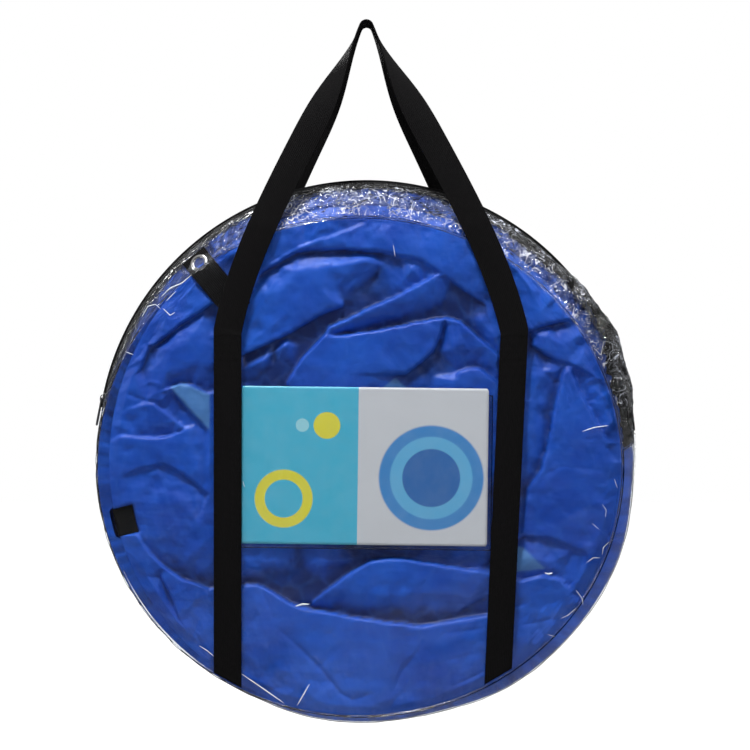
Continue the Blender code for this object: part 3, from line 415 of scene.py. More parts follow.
def cut(mesh, cutters):
    """A mesh with closed meshes taken out of it."""
    things = [linked("cut_work", data) for data in (mesh, *cutters)]
    work, *helpers = things
    for helper in helpers:
        step = work.modifiers.new("cut", "BOOLEAN")
        step.operation = "DIFFERENCE"
        step.object = helper
    graph = bpy.context.evaluated_depsgraph_get()
    result = bpy.data.meshes.new_from_object(
        work.evaluated_get(graph), preserve_all_data_layers=True, depsgraph=graph,
    )
    for thing in things:
        discard(thing)
    result.set_sharp_from_angle(angle=math.radians(40))
    return result


def circle(radius, sides):
    """Points of a circle, the first on the x axis."""
    turn = np.linspace(0, TURN, sides, endpoint=False)
    return np.stack([radius * np.cos(turn), radius * np.sin(turn)], -1)


def rounded_profile(width, height, radius, corner=4):
    """Closed outline of a rectangle with quarter-circle corners, as points about its middle."""
    radius = min(radius, width / 2, height / 2)
    turn = np.linspace(0, math.pi / 2, corner)
    arcs = []
    for quarter, signs in enumerate(((1, 1), (-1, 1), (-1, -1), (1, -1))):
        middle = np.array(signs) * (width / 2 - radius, height / 2 - radius)
        angle = turn + quarter * math.pi / 2
        arcs.append(middle + radius * np.stack([np.cos(angle), np.sin(angle)], -1))
    return np.concatenate(arcs)


def sweep(centres, across, out, profile):
    """Points of a profile carried along a path: its x runs across the path and its y out of it."""
    return (
        centres[:, None, :]
        + across[:, None, :] * profile[None, :, :1]
        + out[:, None, :] * profile[None, :, 1:]
    )


def lengths(path):
    """Distance run along a path at each of its points."""
    return np.append(0, np.cumsum(np.linalg.norm(np.diff(path, axis=0), axis=1)))


def unit(vectors):
    """Vectors scaled to a length of one."""
    return vectors / np.maximum(np.linalg.norm(vectors, axis=-1, keepdims=True), 1e-12)


def sweep_uv(path, profile):
    """UV in metres for a swept profile: distance round the profile, and distance run along the path."""
    closed = np.vstack([profile, profile[:1]])
    return np.stack(np.meshgrid(lengths(closed), lengths(path)), -1)


def tube_mesh(name, path, radius, sides=8, closed=False):
    """Round tube along a path. Its frame is a fixed vector less what runs along, which is Y on a closed path,
    whose plane is square to Y."""
    step = np.roll(path, -1, axis=0) - np.roll(path, 1, axis=0) if closed else np.gradient(path, axis=0)
    guide = np.array([0.0, 1.0, 0.0] if closed else [0.13, 0.97, 0.21])
    run = unit(step)
    out = unit(guide - run * (run @ guide)[:, None])
    profile = circle(radius, sides)
    uv = sweep_uv(np.vstack([path, path[:1]]) if closed else path, profile)
    return grid_mesh(name, sweep(path, np.cross(run, out), out, profile), uv, closed, wrap_columns=True)


def turned_mesh(name, profile, place, steps=72):
    """A closed profile of radius and height turned about the Z axis of place."""
    profile = np.asarray(profile, float)
    points = circle(1.0, steps)[:, None] * profile[None, :, :1]
    height = np.broadcast_to(profile[None, :, 1:], (steps, len(profile), 1))
    mesh = grid_mesh(name, np.concatenate([points, height], -1), wrap_rows=True, wrap_columns=True)
    return shift_mesh(mesh, place)


def plate_mesh(name, outline, low, high, bevel, place, steps=4):
    """A plate with rounded edges: its outline drawn in by a quarter circle at both faces.

    outline is closed, anticlockwise, in the plane of place, and the faces lie at the heights low and high."""
    run = unit(np.roll(outline, -1, axis=0) - np.roll(outline, 1, axis=0))
    away = np.stack([run[:, 1], -run[:, 0]], -1)
    turn = np.linspace(0, math.pi / 2, steps)
    inset, rise = bevel * (1 - np.cos(turn)), bevel * (1 - np.sin(turn))
    heights = np.concatenate([low + rise[::-1], high - rise])
    flat = outline[None] - away[None] * np.concatenate([inset[::-1], inset])[:, None, None]
    points = np.concatenate([flat, np.broadcast_to(heights[:, None, None], (*flat.shape[:2], 1))], -1)
    uv = np.stack(np.meshgrid(lengths(np.vstack([outline, outline[:1]])), heights), -1)
    return shift_mesh(grid_mesh(name, points, uv, wrap_columns=True), place)


# Shape rules

def smooth(value):
    """Smooth step from 0 to 1."""
    value = np.clip(value, 0, 1)
    return value * value * (3 - 2 * value)


def bump(value, middle, half):
    """1 at the middle, falling smoothly to 0 at half on each side."""
    return smooth(1 - np.abs(value - middle) / half)


def window(value, low, high, ease):
    """1 between low and high, falling smoothly to 0 at both over ease."""
    return smooth((value - low) / ease) * smooth((high - value) / ease)


def round_points(radius, angle, y, middle=(TUNNEL_X, TUNNEL_Z)):
    """World points at a radius and angle about an axis along Y, at the depth y."""
    x, z = middle[0] + radius * np.cos(angle), middle[1] + radius * np.sin(angle)
    return np.stack(np.broadcast_arrays(x, y, z), -1)


def beside(x, z, start, end):
    """Where places lie on the line from start to end: the distance run along it, the distance to its right,
    and the line's length."""
    step = np.subtract(end, start)
    whole = math.hypot(*step)
    dx, dz = x - start[0], z - start[1]
    return (dx * step[0] + dz * step[1]) / whole, (dx * step[1] - dz * step[0]) / whole, whole


def follow(corners, count, values=None):
    """count places spread evenly along a polyline, or the values there that its corners carry."""
    run = lengths(corners)
    at = np.linspace(0, run[-1], count)
    return np.stack([np.interp(at, run, column) for column in (corners if values is None else values).T], -1)


def spoke(points, x=0.0, z=MIDDLE_Z):
    """The step to each point from an axis along Y."""
    return (points - [x, 0, z]) * [1, 0, 1]


def off_ray(x, z, degrees):
    """How far places lie out along a ray from the tunnel's middle, and to its side."""
    angle = math.radians(degrees)
    return x * math.cos(angle) + z * math.sin(angle), x * math.sin(angle) - z * math.cos(angle)


def ripple(u, v, wavelength, seed, waves=28):
    """Sum of seeded plane waves in all directions, about 1 high, whose lengths lie round the given one."""
    rng = np.random.default_rng(seed)
    total = np.zeros(np.broadcast(u, v).shape)
    for _ in range(waves):
        direction, phase = rng.uniform(0, TURN, 2)
        number = TURN / (wavelength * rng.uniform(0.7, 1.6))
        total += np.sin(number * (u * math.cos(direction) + v * math.sin(direction)) + phase)
    return total / math.sqrt(waves)


def scatter(i, j, seed):
    """A number from 0 to 1 for each whole pair i, j."""
    value = np.sin(i * 127.1 + j * 311.7 + seed * 74.7) * 43758.5453
    return value - np.floor(value)


def cells(u, v, seed):
    """Distance to the nearest of scattered places, one in each unit square, and the step to the second."""
    column, row = np.floor(u), np.floor(v)
    first = np.full(np.shape(u), 9.0)
    second = first.copy()
    for i in (-1, 0, 1):
        for j in (-1, 0, 1):
            near = np.hypot(
                u - (column + i + scatter(column + i, row + j, seed)),
                v - (row + j + scatter(column + i, row + j, seed + 3)),
            )
            second = np.minimum(second, np.maximum(first, near))
            first = np.minimum(first, near)
    return first, second - first


def section(angle, y):
    """World points on the bag's side: at each depth an ellipse round the bag's middle. The front seam is low
    and wide, the middle and rear rings are circles, and the front half bellies out between its two rings."""
    angle, y = np.broadcast_arrays(np.asarray(angle, float), np.asarray(y, float))
    front = np.clip(y / FRONT_Y, 0, 1)
    back = np.clip(y / BACK_Y, 0, 1)
    belly = GUSSET_BELLY * 4 * front * (1 - front)
    plain = MID_RADIUS + (REAR_RADIUS - MID_RADIUS) * back + belly
    x = np.cos(angle) * (plain + (FRONT_HALF_WIDTH - MID_RADIUS) * front) + FRONT_SHIFT_X * front
    z = np.sin(angle) * (plain + (FRONT_HALF_HEIGHT - MID_RADIUS) * front) - FRONT_SAG * front
    return np.stack([x, y, MIDDLE_Z + z], -1)


def turned_from(angle, middle):
    """Size of the turn from a middle angle given in degrees, 0 to pi."""
    turn = angle - math.radians(middle)
    return np.abs(np.arctan2(np.sin(turn), np.cos(turn)))


def band_offset(angle, y, crumpled=True):
    """How far the clear side bands stand off the plain side, in metres: out in a soft lump at the right where
    the tape is crumpled and at the lower right, and in at the left, where they are pulled flat against the
    coils."""
    front = np.clip(y / FRONT_Y, 0, 1)
    pull = 4 * front * (1 - front) * sum(
        height * smooth((math.radians(half) - turned_from(angle, middle)) / ease)
        for height, half, middle, ease in (
            (-0.0048, 38, 147, 0.42), (-0.0042, 50, 212, 0.42), (0.0050, 36, -40, 0.35),
        )
    )
    if not crumpled:
        return pull
    lump = 0.0095 * smooth(1 - turned_from(angle, 27) / math.radians(27)) * smooth((0.012 - y) / 0.016)
    return lump * smooth((y - FRONT_Y) / 0.008) * (1 + 0.12 * np.sin(angle * 29 + 1.0)) + pull


def outward(points):
    """Unit normals of a grid of points, turned away from the bag's axis."""
    normal = unit(np.cross(np.gradient(points, axis=0), np.gradient(points, axis=1)))
    return normal * np.sign((normal * spoke(points)).sum(-1, keepdims=True))


def disc(count, radius):
    """A square grid pressed into a round one of a radius; returns x, z and the share of the radius."""
    line = np.linspace(-1, 1, count)
    a, b = np.meshgrid(line, line, indexing="ij")
    x, z = a * np.sqrt(1 - b**2 / 2), b * np.sqrt(1 - a**2 / 2)
    share, angle = np.hypot(x, z), np.arctan2(z, x)
    return radius * share * np.cos(angle), radius * share * np.sin(angle), share


def crease_height(x, z, creases):
    """Sum of creases: each falls off as an exponential of the distance to its line, and fades towards its
    ends. A one-sided crease is high on one side of its line and low on the other."""
    total = np.zeros(np.shape(x))
    for corners, width, height, sided in creases:
        places = np.array([picture(*corner) for corner in corners])
        run = lengths(places)
        nearest = np.full(np.shape(x), 9.0)
        at, side = np.zeros(np.shape(x)), np.zeros(np.shape(x))
        for start, end, begin in zip(places[:-1], places[1:], run):
            past, away, whole = beside(x, z, start, end)
            along = np.clip(past, 0, whole)
            distance = np.hypot(past - along, away)
            closer = distance < nearest
            nearest = np.where(closer, distance, nearest)
            at = np.where(closer, begin + along, at)
            side = np.where(closer, np.sign(away), side)
        fall = np.exp(-nearest / width)
        if sided:
            edge = np.clip(nearest / 0.0022, 0, 1) * side
            fall = 0.55 * fall + 0.45 * edge * np.exp(-nearest / (1.6 * width))
        total += height * fall * (0.35 + 0.65 * window(at, 0, run[-1], 0.25 * run[-1]))
    return total


def zip_points(angle, across, height=0.0):
    """World points on the zip's band: across runs to the rear from its middle line, height outwards."""
    slope_y, slope_r = BACK_Y / ZIP_SLANT, (REAR_RADIUS - MID_RADIUS) / ZIP_SLANT
    along = ZIP_SLANT / 2 + across
    radius = MID_RADIUS + along * slope_r + height * slope_y
    return round_points(radius, angle, along * slope_y - height * slope_r, (0, MIDDLE_Z))


def frame_matrix(x_axis, y_axis, z_axis, origin):
    """A Blender matrix from three axes and an origin."""
    rows = np.eye(4)
    rows[:3, 0], rows[:3, 1], rows[:3, 2], rows[:3, 3] = x_axis, y_axis, z_axis, origin
    return Matrix(rows.tolist())


def zip_matrix(angle):
    """Frame on the zip's middle line: X along it as the angle rises, Y to the front, Z outwards."""
    origin = zip_points(angle, 0.0)
    run = np.array([-math.sin(angle), 0, math.cos(angle)])
    across = unit(zip_points(angle, 0.001) - origin)
    out = unit(zip_points(angle, 0.0, 0.001) - origin)
    return frame_matrix(run, -across, out, origin)


# Shader groups

def once(store, default=""):
    """Wraps a maker of materials or node groups: a name that is there already isn't made again."""

    def wrap(make):
        @functools.wraps(make)
        def find(name=default, *values, **named):
            return getattr(bpy.data, store).get(name) or make(name, *values, **named)

        return find

    return wrap


def new_group(name, outputs, **inputs):
    """A shader node group with a Vector input, number inputs with their defaults, and number outputs.
    Returns the group, the sockets that its inputs come from, and its output node."""
    group = bpy.data.node_groups.new(name, "ShaderNodeTree")
    group.interface.new_socket(name="Vector", in_out="INPUT", socket_type="NodeSocketVector")
    for label, default in inputs.items():
        socket = group.interface.new_socket(name=label, in_out="INPUT", socket_type="NodeSocketFloat")
        socket.default_value = default
    for label in outputs:
        group.interface.new_socket(name=label, in_out="OUTPUT", socket_type="NodeSocketFloat")
    return group, group.nodes.new("NodeGroupInput").outputs, group.nodes.new("NodeGroupOutput")


def join(tree, value, socket):
    """Links a value that is a socket to an input, and sets any other value on it."""
    if isinstance(value, bpy.types.NodeSocket):
        tree.links.new(value, socket)
    else:
        socket.default_value = value


def feed(tree, made, **values):
    """Gives a node's inputs their values, by name."""
    for key, value in values.items():
        join(tree, value, made.inputs[key.replace("_", " ")])


def node(tree, kind, **settings):
    """A new node. A setting that names an attribute is set on the node, and any other goes to its input."""
    made = tree.nodes.new(kind)
    own = {key for key in settings if hasattr(made, key)}
    for key in own:
        setattr(made, key, settings[key])
    feed(tree, made, **{key: value for key, value in settings.items() if key not in own})
    return made


def math_node(tree, operation, *values):
    """A Math node fed by sockets or numbers; returns its output."""
    made = node(tree, "ShaderNodeMath", operation=operation)
    for socket, value in zip(made.inputs, values):
        join(tree, value, socket)
    return made.outputs[0]


def map_range(tree, value, low, high, out_low, out_high):
    """A clamped Map Range; returns its output."""
    made = node(
        tree, "ShaderNodeMapRange", Value=value, From_Min=low, From_Max=high, To_Min=out_low, To_Max=out_high,
    )
    return made.outputs["Result"]


def noise_node(tree, vector, scale, detail, roughness, distortion=0.0):
    """A noise texture; returns its node."""
    return node(
        tree, "ShaderNodeTexNoise", Vector=vector, Scale=scale, Detail=detail, Roughness=roughness,
        Distortion=distortion,
    )


@once("node_groups", "Plain Weave")
def weave_group(name):
    """Plain weave: threads over and under along X and Z or U and V. Height is the thread relief and Variation
    a slow unevenness of the yarn."""
    group, given, target = new_group(name, ("Height", "Variation"), Threads=2000.0, Unevenness=60.0)
    split = node(group, "ShaderNodeSeparateXYZ", Vector=given["Vector"]).outputs
    angle = math_node(group, "MULTIPLY", given["Threads"], math.pi)
    waves = [math_node(group, "SINE", math_node(group, "MULTIPLY", split[axis], angle)) for axis in "XYZ"]
    both = math_node(group, "MULTIPLY", waves[0], math_node(group, "ADD", waves[1], waves[2]))
    noise = noise_node(group, given["Vector"], given["Unevenness"], 3.0, 0.6)
    height = math_node(group, "MULTIPLY_ADD", both, 0.25, 0.5)
    feed(group, target, Height=height, Variation=noise.outputs["Fac"])
    return group


@once("node_groups", "Crinkled Sheet")
def crinkle_group(name):
    """Crinkled sheet: crisp ridges between scattered flat places, over slow waves. Height is the relief and
    Ridge is 1 along the ridges."""
    group, given, target = new_group(name, ("Height", "Ridge"), Ridges=90.0, Waves=25.0, Sharpness=0.6)
    warp = noise_node(group, given["Vector"], given["Waves"], 2.0, 0.5)
    offset = node(group, "ShaderNodeVectorMath", operation="SCALE", Scale=0.02)
    group.links.new(warp.outputs["Color"], offset.inputs[0])
    moved = node(group, "ShaderNodeVectorMath", operation="ADD")
    group.links.new(given["Vector"], moved.inputs[0])
    group.links.new(offset.outputs[0], moved.inputs[1])
    places, edges = (
        node(group, "ShaderNodeTexVoronoi", feature=feature, Vector=moved.outputs[0], Scale=given["Ridges"])
        for feature in ("F1", "DISTANCE_TO_EDGE")
    )
    folded = math_node(group, "MULTIPLY", places.outputs["Distance"], given["Sharpness"])
    height = math_node(group, "ADD", folded, warp.outputs["Fac"])
    feed(group, target, Height=height, Ridge=map_range(group, edges.outputs["Distance"], 0.0, 0.12, 1.0, 0.0))
    return group


@once("node_groups", "Webbing Ribs")
def webbing_group(name):
    """Woven strap: ribs along its length and picks across it, from a UV map in metres. Height is the relief,
    Rib the share of the way up a rib, and Rubbed the slow wear."""
    group, given, target = new_group(name, ("Height", "Rib", "Rubbed"), Ribs=620.0, Picks=900.0)
    split = node(group, "ShaderNodeSeparateXYZ", Vector=given["Vector"]).outputs
    across, along = (
        math_node(group, "MULTIPLY", split[axis], math_node(group, "MULTIPLY", given[count], math.pi))
        for axis, count in (("X", "Ribs"), ("Y", "Picks"))
    )
    rib, pick = (
        math_node(group, "ABSOLUTE", math_node(group, "SINE", angle))
        for angle in (across, math_node(group, "ADD", along, across))
    )
    noise = noise_node(group, given["Vector"], 55.0, 4.0, 0.65)
    height = math_node(group, "MULTIPLY_ADD", pick, 0.45, rib)
    feed(group, target, Height=height, Rib=rib, Rubbed=noise.outputs["Fac"])
    return group


@once("node_groups", "Crease Lines")
def glint_lines_group(name):
    """Painted glint lines: thin white bands where a warped noise crosses its middle value, at two sizes, kept
    in patches."""
    group, given, target = new_group(name, ("Mask",), Lines=125.0, Patches=38.0, Cover=0.5)
    masks = []
    for factor, width, share in ((1.0, 0.025, 1.0), (2.1, 0.028, 0.50)):
        scale = math_node(group, "MULTIPLY", given["Lines"], factor)
        noise = noise_node(group, given["Vector"], scale, 0.6, 0.4, 1.3)
        away = math_node(group, "ABSOLUTE", math_node(group, "SUBTRACT", noise.outputs["Fac"], 0.5))
        masks.append(map_range(group, away, width * 0.35, width, share, 0.0))
    patches = noise_node(group, given["Vector"], given["Patches"], 2.0, 0.6)
    left_out = math_node(group, "SUBTRACT", 1.0, given["Cover"])
    edge = math_node(group, "SUBTRACT", patches.outputs["Fac"], left_out)
    kept = map_range(group, edge, -0.04, 0.06, 0.0, 1.0)
    feed(group, target, Mask=math_node(group, "MULTIPLY", math_node(group, "MAXIMUM", *masks), kept))
    return group


@once("node_groups", "Handling Marks")
def rubbing_group(name):
    """Handling marks: blotches and fine scratches from noise on the piece's own coordinates."""
    group, given, target = new_group(name, ("Mask", "Height"), Size=120.0)
    noise = noise_node(group, given["Vector"], given["Size"], 6.0, 0.7).outputs["Fac"]
    feed(group, target, Mask=map_range(group, noise, 0.35, 0.75, 0.0, 1.0), Height=noise)
    return group


# Materials

def new_material(name):
    """A material with its tree, its Principled shader and the sockets of its coordinates."""
    material = bpy.data.materials.new(name)
    material.use_nodes = True
    tree = material.node_tree
    return material, tree, tree.nodes["Principled BSDF"], node(tree, "ShaderNodeTexCoord").outputs


def chosen(name):
    """A colour as the panel has it."""
    return tuple(getattr(bpy.context.scene.tunnel_colours, name))


def toned(base, share, lift=0.0):
    """A colour with each part multiplied by a share and lifted, up to 1."""
    return tuple(min(1, share * part + lift) for part in base)


def mix_colours(tree, factor, first, second):
    """A colour mix; first and second are colours or sockets."""
    made = node(tree, "ShaderNodeMix", data_type="RGBA")
    tree.links.new(factor, made.inputs["Factor"])
    for index, value in ((6, first), (7, second)):
        join(tree, value if isinstance(value, bpy.types.NodeSocket) else (*value, 1.0), made.inputs[index])
    return made.outputs[2]


def add_bump(tree, shader, height, distance, strength, **below):
    """A Bump node on the shader's normal, over another's Normal if one is given; returns its output."""
    made = node(tree, "ShaderNodeBump", Height=height, Distance=distance, Strength=strength, **below)
    feed(tree, shader, Normal=made.outputs["Normal"])
    return made.outputs["Normal"]


def use_group(tree, group, vector, **values):
    """The outputs of a node group placed in a material, with its own values."""
    return node(tree, "ShaderNodeGroup", node_tree=group, Vector=vector, **values).outputs


def attribute(tree, name):
    """A number that each of the piece's points carries."""
    return node(tree, "ShaderNodeAttribute", attribute_name=name).outputs["Fac"]


@once("materials", "Blue Nylon")
def nylon_material(name):
    """Thin downproof nylon: close weave, soft creases, satin gloss with a little sheen."""
    material, tree, shader, place = new_material(name)
    weave = use_group(tree, weave_group(), place["Object"], Threads=1250.0, Unevenness=14.0)
    crumple = use_group(tree, crinkle_group(), place["Object"], Ridges=48.0, Waves=17.0, Sharpness=0.5)
    fine = noise_node(tree, place["Object"], 34.0, 5.0, 0.55, 0.6).outputs["Fac"]
    tone = map_range(tree, weave["Variation"], 0.3, 0.7, 0.0, 1.0)
    base = mix_colours(tree, tone, chosen("nylon_shade"), chosen("nylon"))
    # Painted shade: the colour darkens towards 0.30 of the shade colour where hollow is high, in fold hollows
    # and on the rim roll
    deep = mix_colours(tree, attribute(tree, "hollow"), base, toned(chosen("nylon_shade"), 0.30))
    # Painted light: paler and bluer where one layer of cloth lets light through from behind
    thin = mix_colours(tree, attribute(tree, "single_layer"), deep, (0.070, 0.21, 0.52))
    # Paler and bluer along the crumple's ridges
    ridge_paled = mix_colours(tree, math_node(tree, "MULTIPLY", crumple["Ridge"], 0.12), thin, (0.04, 0.17, 0.66))
    feed(
        tree, shader, Base_Color=ridge_paled, Roughness=map_range(tree, fine, 0.3, 0.7, 0.40, 0.54),
        Specular_IOR_Level=0.32, Sheen_Weight=0.04, Sheen_Roughness=0.4, Sheen_Tint=(0.35, 0.55, 1.0, 1.0),
    )
    first = add_bump(tree, shader, crumple["Height"], 0.0019, 0.60)
    second = add_bump(tree, shader, fine, 0.0026, 0.40, Normal=first)
    add_bump(tree, shader, weave["Height"], 0.00006, 0.5, Normal=second)
    return material


@once("materials")
def vinyl_material(name, ridges, waves, sharpness, distance, roughness, strength=None):
    """Clear soft vinyl: a glassy sheet with its own crinkles, as strong as the attribute named by strength
    says. Light that only passes to the cloth goes straight through, so that the sheet throws a faint
    shadow."""
    material, tree, shader, place = new_material(name)
    crinkle = use_group(
        tree, crinkle_group(), place["Object"], Ridges=ridges, Waves=waves, Sharpness=sharpness,
    )
    marks = use_group(tree, rubbing_group(), place["Object"], Size=22.0)["Mask"]
    path = node(tree, "ShaderNodeLightPath").outputs
    passing = math_node(tree, "MAXIMUM", path["Is Shadow Ray"], path["Is Diffuse Ray"])
    feed(
        tree, shader, Base_Color=mix_colours(tree, marks, chosen("vinyl"), toned(chosen("vinyl"), 0.985)),
        Roughness=map_range(tree, marks, 0.0, 1.0, roughness, roughness + 0.05),
        Transmission_Weight=1.0, IOR=1.46,
        Alpha=math_node(tree, "SUBTRACT", 1.0, math_node(tree, "MULTIPLY", passing, 0.93)),
    )
    height = crinkle["Height"]
    if strength:
        height = math_node(tree, "MULTIPLY", height, attribute(tree, strength))
    add_bump(tree, shader, height, distance, 1.0)
    return material


@once("materials", "Vinyl Creases")
def crease_glint_material(name):
    """Painted glints: white lines over the crinkled vinyl, which also stand for its whitened creases, and
    clear between them.
    """
    material, tree, shader, place = new_material(name)
    lines = use_group(tree, glint_lines_group(), place["Object"], Lines=95.0, Patches=42.0, Cover=0.52)
    marks = use_group(tree, rubbing_group(), place["Object"], Size=300.0)
    kept = math_node(tree, "MULTIPLY", lines["Mask"], attribute(tree, "creased"))
    feed(
        tree, shader, Base_Color=mix_colours(tree, marks["Mask"], (0.72, 0.77, 0.92), (0.88, 0.90, 0.97)),
        Roughness=map_range(tree, marks["Mask"], 0, 1, 0.15, 0.3),
        Alpha=math_node(tree, "MULTIPLY", kept, 0.92),
    )
    add_bump(tree, shader, marks["Height"], 0.0003, 0.6)
    return material


@once("materials", "Black Webbing")
def webbing_material(name, tone="webbing", ribs=620.0, picks=900.0, relief=0.00022, roughness=0.72):
    """Woven webbing or tape on its UV map in metres, rubbed a little paler along its ribs."""
    material, tree, shader, place = new_material(name)
    ribbed = use_group(tree, webbing_group(), place["UV"], Ribs=ribs, Picks=picks)
    worn = math_node(tree, "MULTIPLY", ribbed["Rib"], ribbed["Rubbed"])
    feed(
        tree, shader, Base_Color=mix_colours(tree, worn, toned(chosen(tone), 0.7), toned(chosen(tone), 2.1)),
        Roughness=map_range(tree, ribbed["Rubbed"], 0.3, 0.7, roughness - 0.08, roughness + 0.1),
        Specular_IOR_Level=0.10, Sheen_Weight=0.01, Sheen_Roughness=0.5,
    )
    add_bump(tree, shader, ribbed["Height"], relief, 0.9)
    return material


def marked_material(name, tone, worn_tone, size, roughness, spread, relief, strength):
    """A finish whose colour, roughness and relief follow faint handling marks; returns the material and its
    shader."""
    material, tree, shader, place = new_material(name)
    marks = use_group(tree, rubbing_group(), place["Object"], Size=size)
    feed(
        tree, shader, Base_Color=mix_colours(tree, marks["Mask"], tone, worn_tone),
        Roughness=map_range(tree, marks["Mask"], 0, 1, roughness, roughness + spread),
    )
    add_bump(tree, shader, marks["Height"], relief, strength)
    return material, shader


@once("materials")
def plastic_material(name, tone, roughness, specular=0.5):
    """Moulded or drawn black nylon with faint handling marks."""
    worn_tone = toned(tone, 1.8, 0.002)
    material, shader = marked_material(name, tone, worn_tone, 260.0, roughness, 0.15, 0.00005, 0.5)
    shader.inputs["Specular IOR Level"].default_value = specular
    return material


@once("materials")
def metal_material(name, tone, roughness, mark_size=420.0):
    """Plated metal with fine handling marks."""
    tone = chosen(tone)
    worn_tone = toned(tone, 0.72)
    material, shader = marked_material(name, tone, worn_tone, mark_size, roughness, 0.16, 0.00004, 0.4)
    shader.inputs["Metallic"].default_value = 1.0
    return material


@once("materials", "Insert Card")
def card_material(name):
    """Coated card: a wide coloured field and a pale one, with plain round shapes, on its UV map in metres."""
    material, tree, shader, place = new_material(name)
    split = node(tree, "ShaderNodeSeparateXYZ", Vector=place["UV"]).outputs
    accent, field, pale = chosen("card_accent"), chosen("card_field"), chosen("card_pale")
    paint = mix_colours(tree, map_range(tree, split["X"], -0.0060, -0.0056, 0.0, 1.0), field, pale)
    # Round shapes: middle, radius and colour
    for x, y, radius, tone in (
        (-0.072, -0.030, 0.026, accent),
        (-0.072, -0.030, 0.017, field),
        (-0.034, 0.036, 0.012, accent),
        (-0.056, 0.036, 0.006, (0.35, 0.72, 0.82)),
        (0.060, -0.010, 0.047, (0.055, 0.26, 0.62)),
        (0.060, -0.010, 0.037, (0.13, 0.46, 0.76)),
        (0.060, -0.010, 0.026, (0.030, 0.15, 0.45)),
    ):
        squares = []
        for axis, middle in (("X", x), ("Y", y)):
            share = math_node(tree, "DIVIDE", math_node(tree, "SUBTRACT", split[axis], middle), radius)
            squares.append(math_node(tree, "MULTIPLY", share, share))
        reach = math_node(tree, "SQRT", math_node(tree, "ADD", *squares))
        paint = mix_colours(tree, map_range(tree, reach, 0.98, 1.02, 1.0, 0.0), paint, tone)
    marks = use_group(tree, rubbing_group(), place["Object"], Size=70.0)
    worn = mix_colours(tree, math_node(tree, "MULTIPLY", marks["Mask"], 0.06), paint, (0.8, 0.85, 0.9))
    feed(
        tree, shader, Base_Color=worn, Roughness=map_range(tree, marks["Mask"], 0, 1, 0.34, 0.46),
        Coat_Weight=0.25, Coat_Roughness=0.15,
    )
    add_bump(tree, shader, marks["Height"], 0.00008, 0.35)
    return material


def thread_material():
    """Sewing thread."""
    return plastic_material("Thread", chosen("thread"), 0.7, 0.08)


# Stage

def seen_straight(tree):
    """1 for what the camera sees directly or straight through clear vinyl, and 0 after any bounce."""
    path = node(tree, "ShaderNodeLightPath").outputs
    bounced = math_node(tree, "ADD", path["Glossy Depth"], path["Diffuse Depth"])
    direct = math_node(tree, "LESS_THAN", bounced, 0.5)
    through = math_node(tree, "MULTIPLY", path["Is Transmission Ray"], direct)
    return math_node(tree, "MAXIMUM", path["Is Camera Ray"], through)


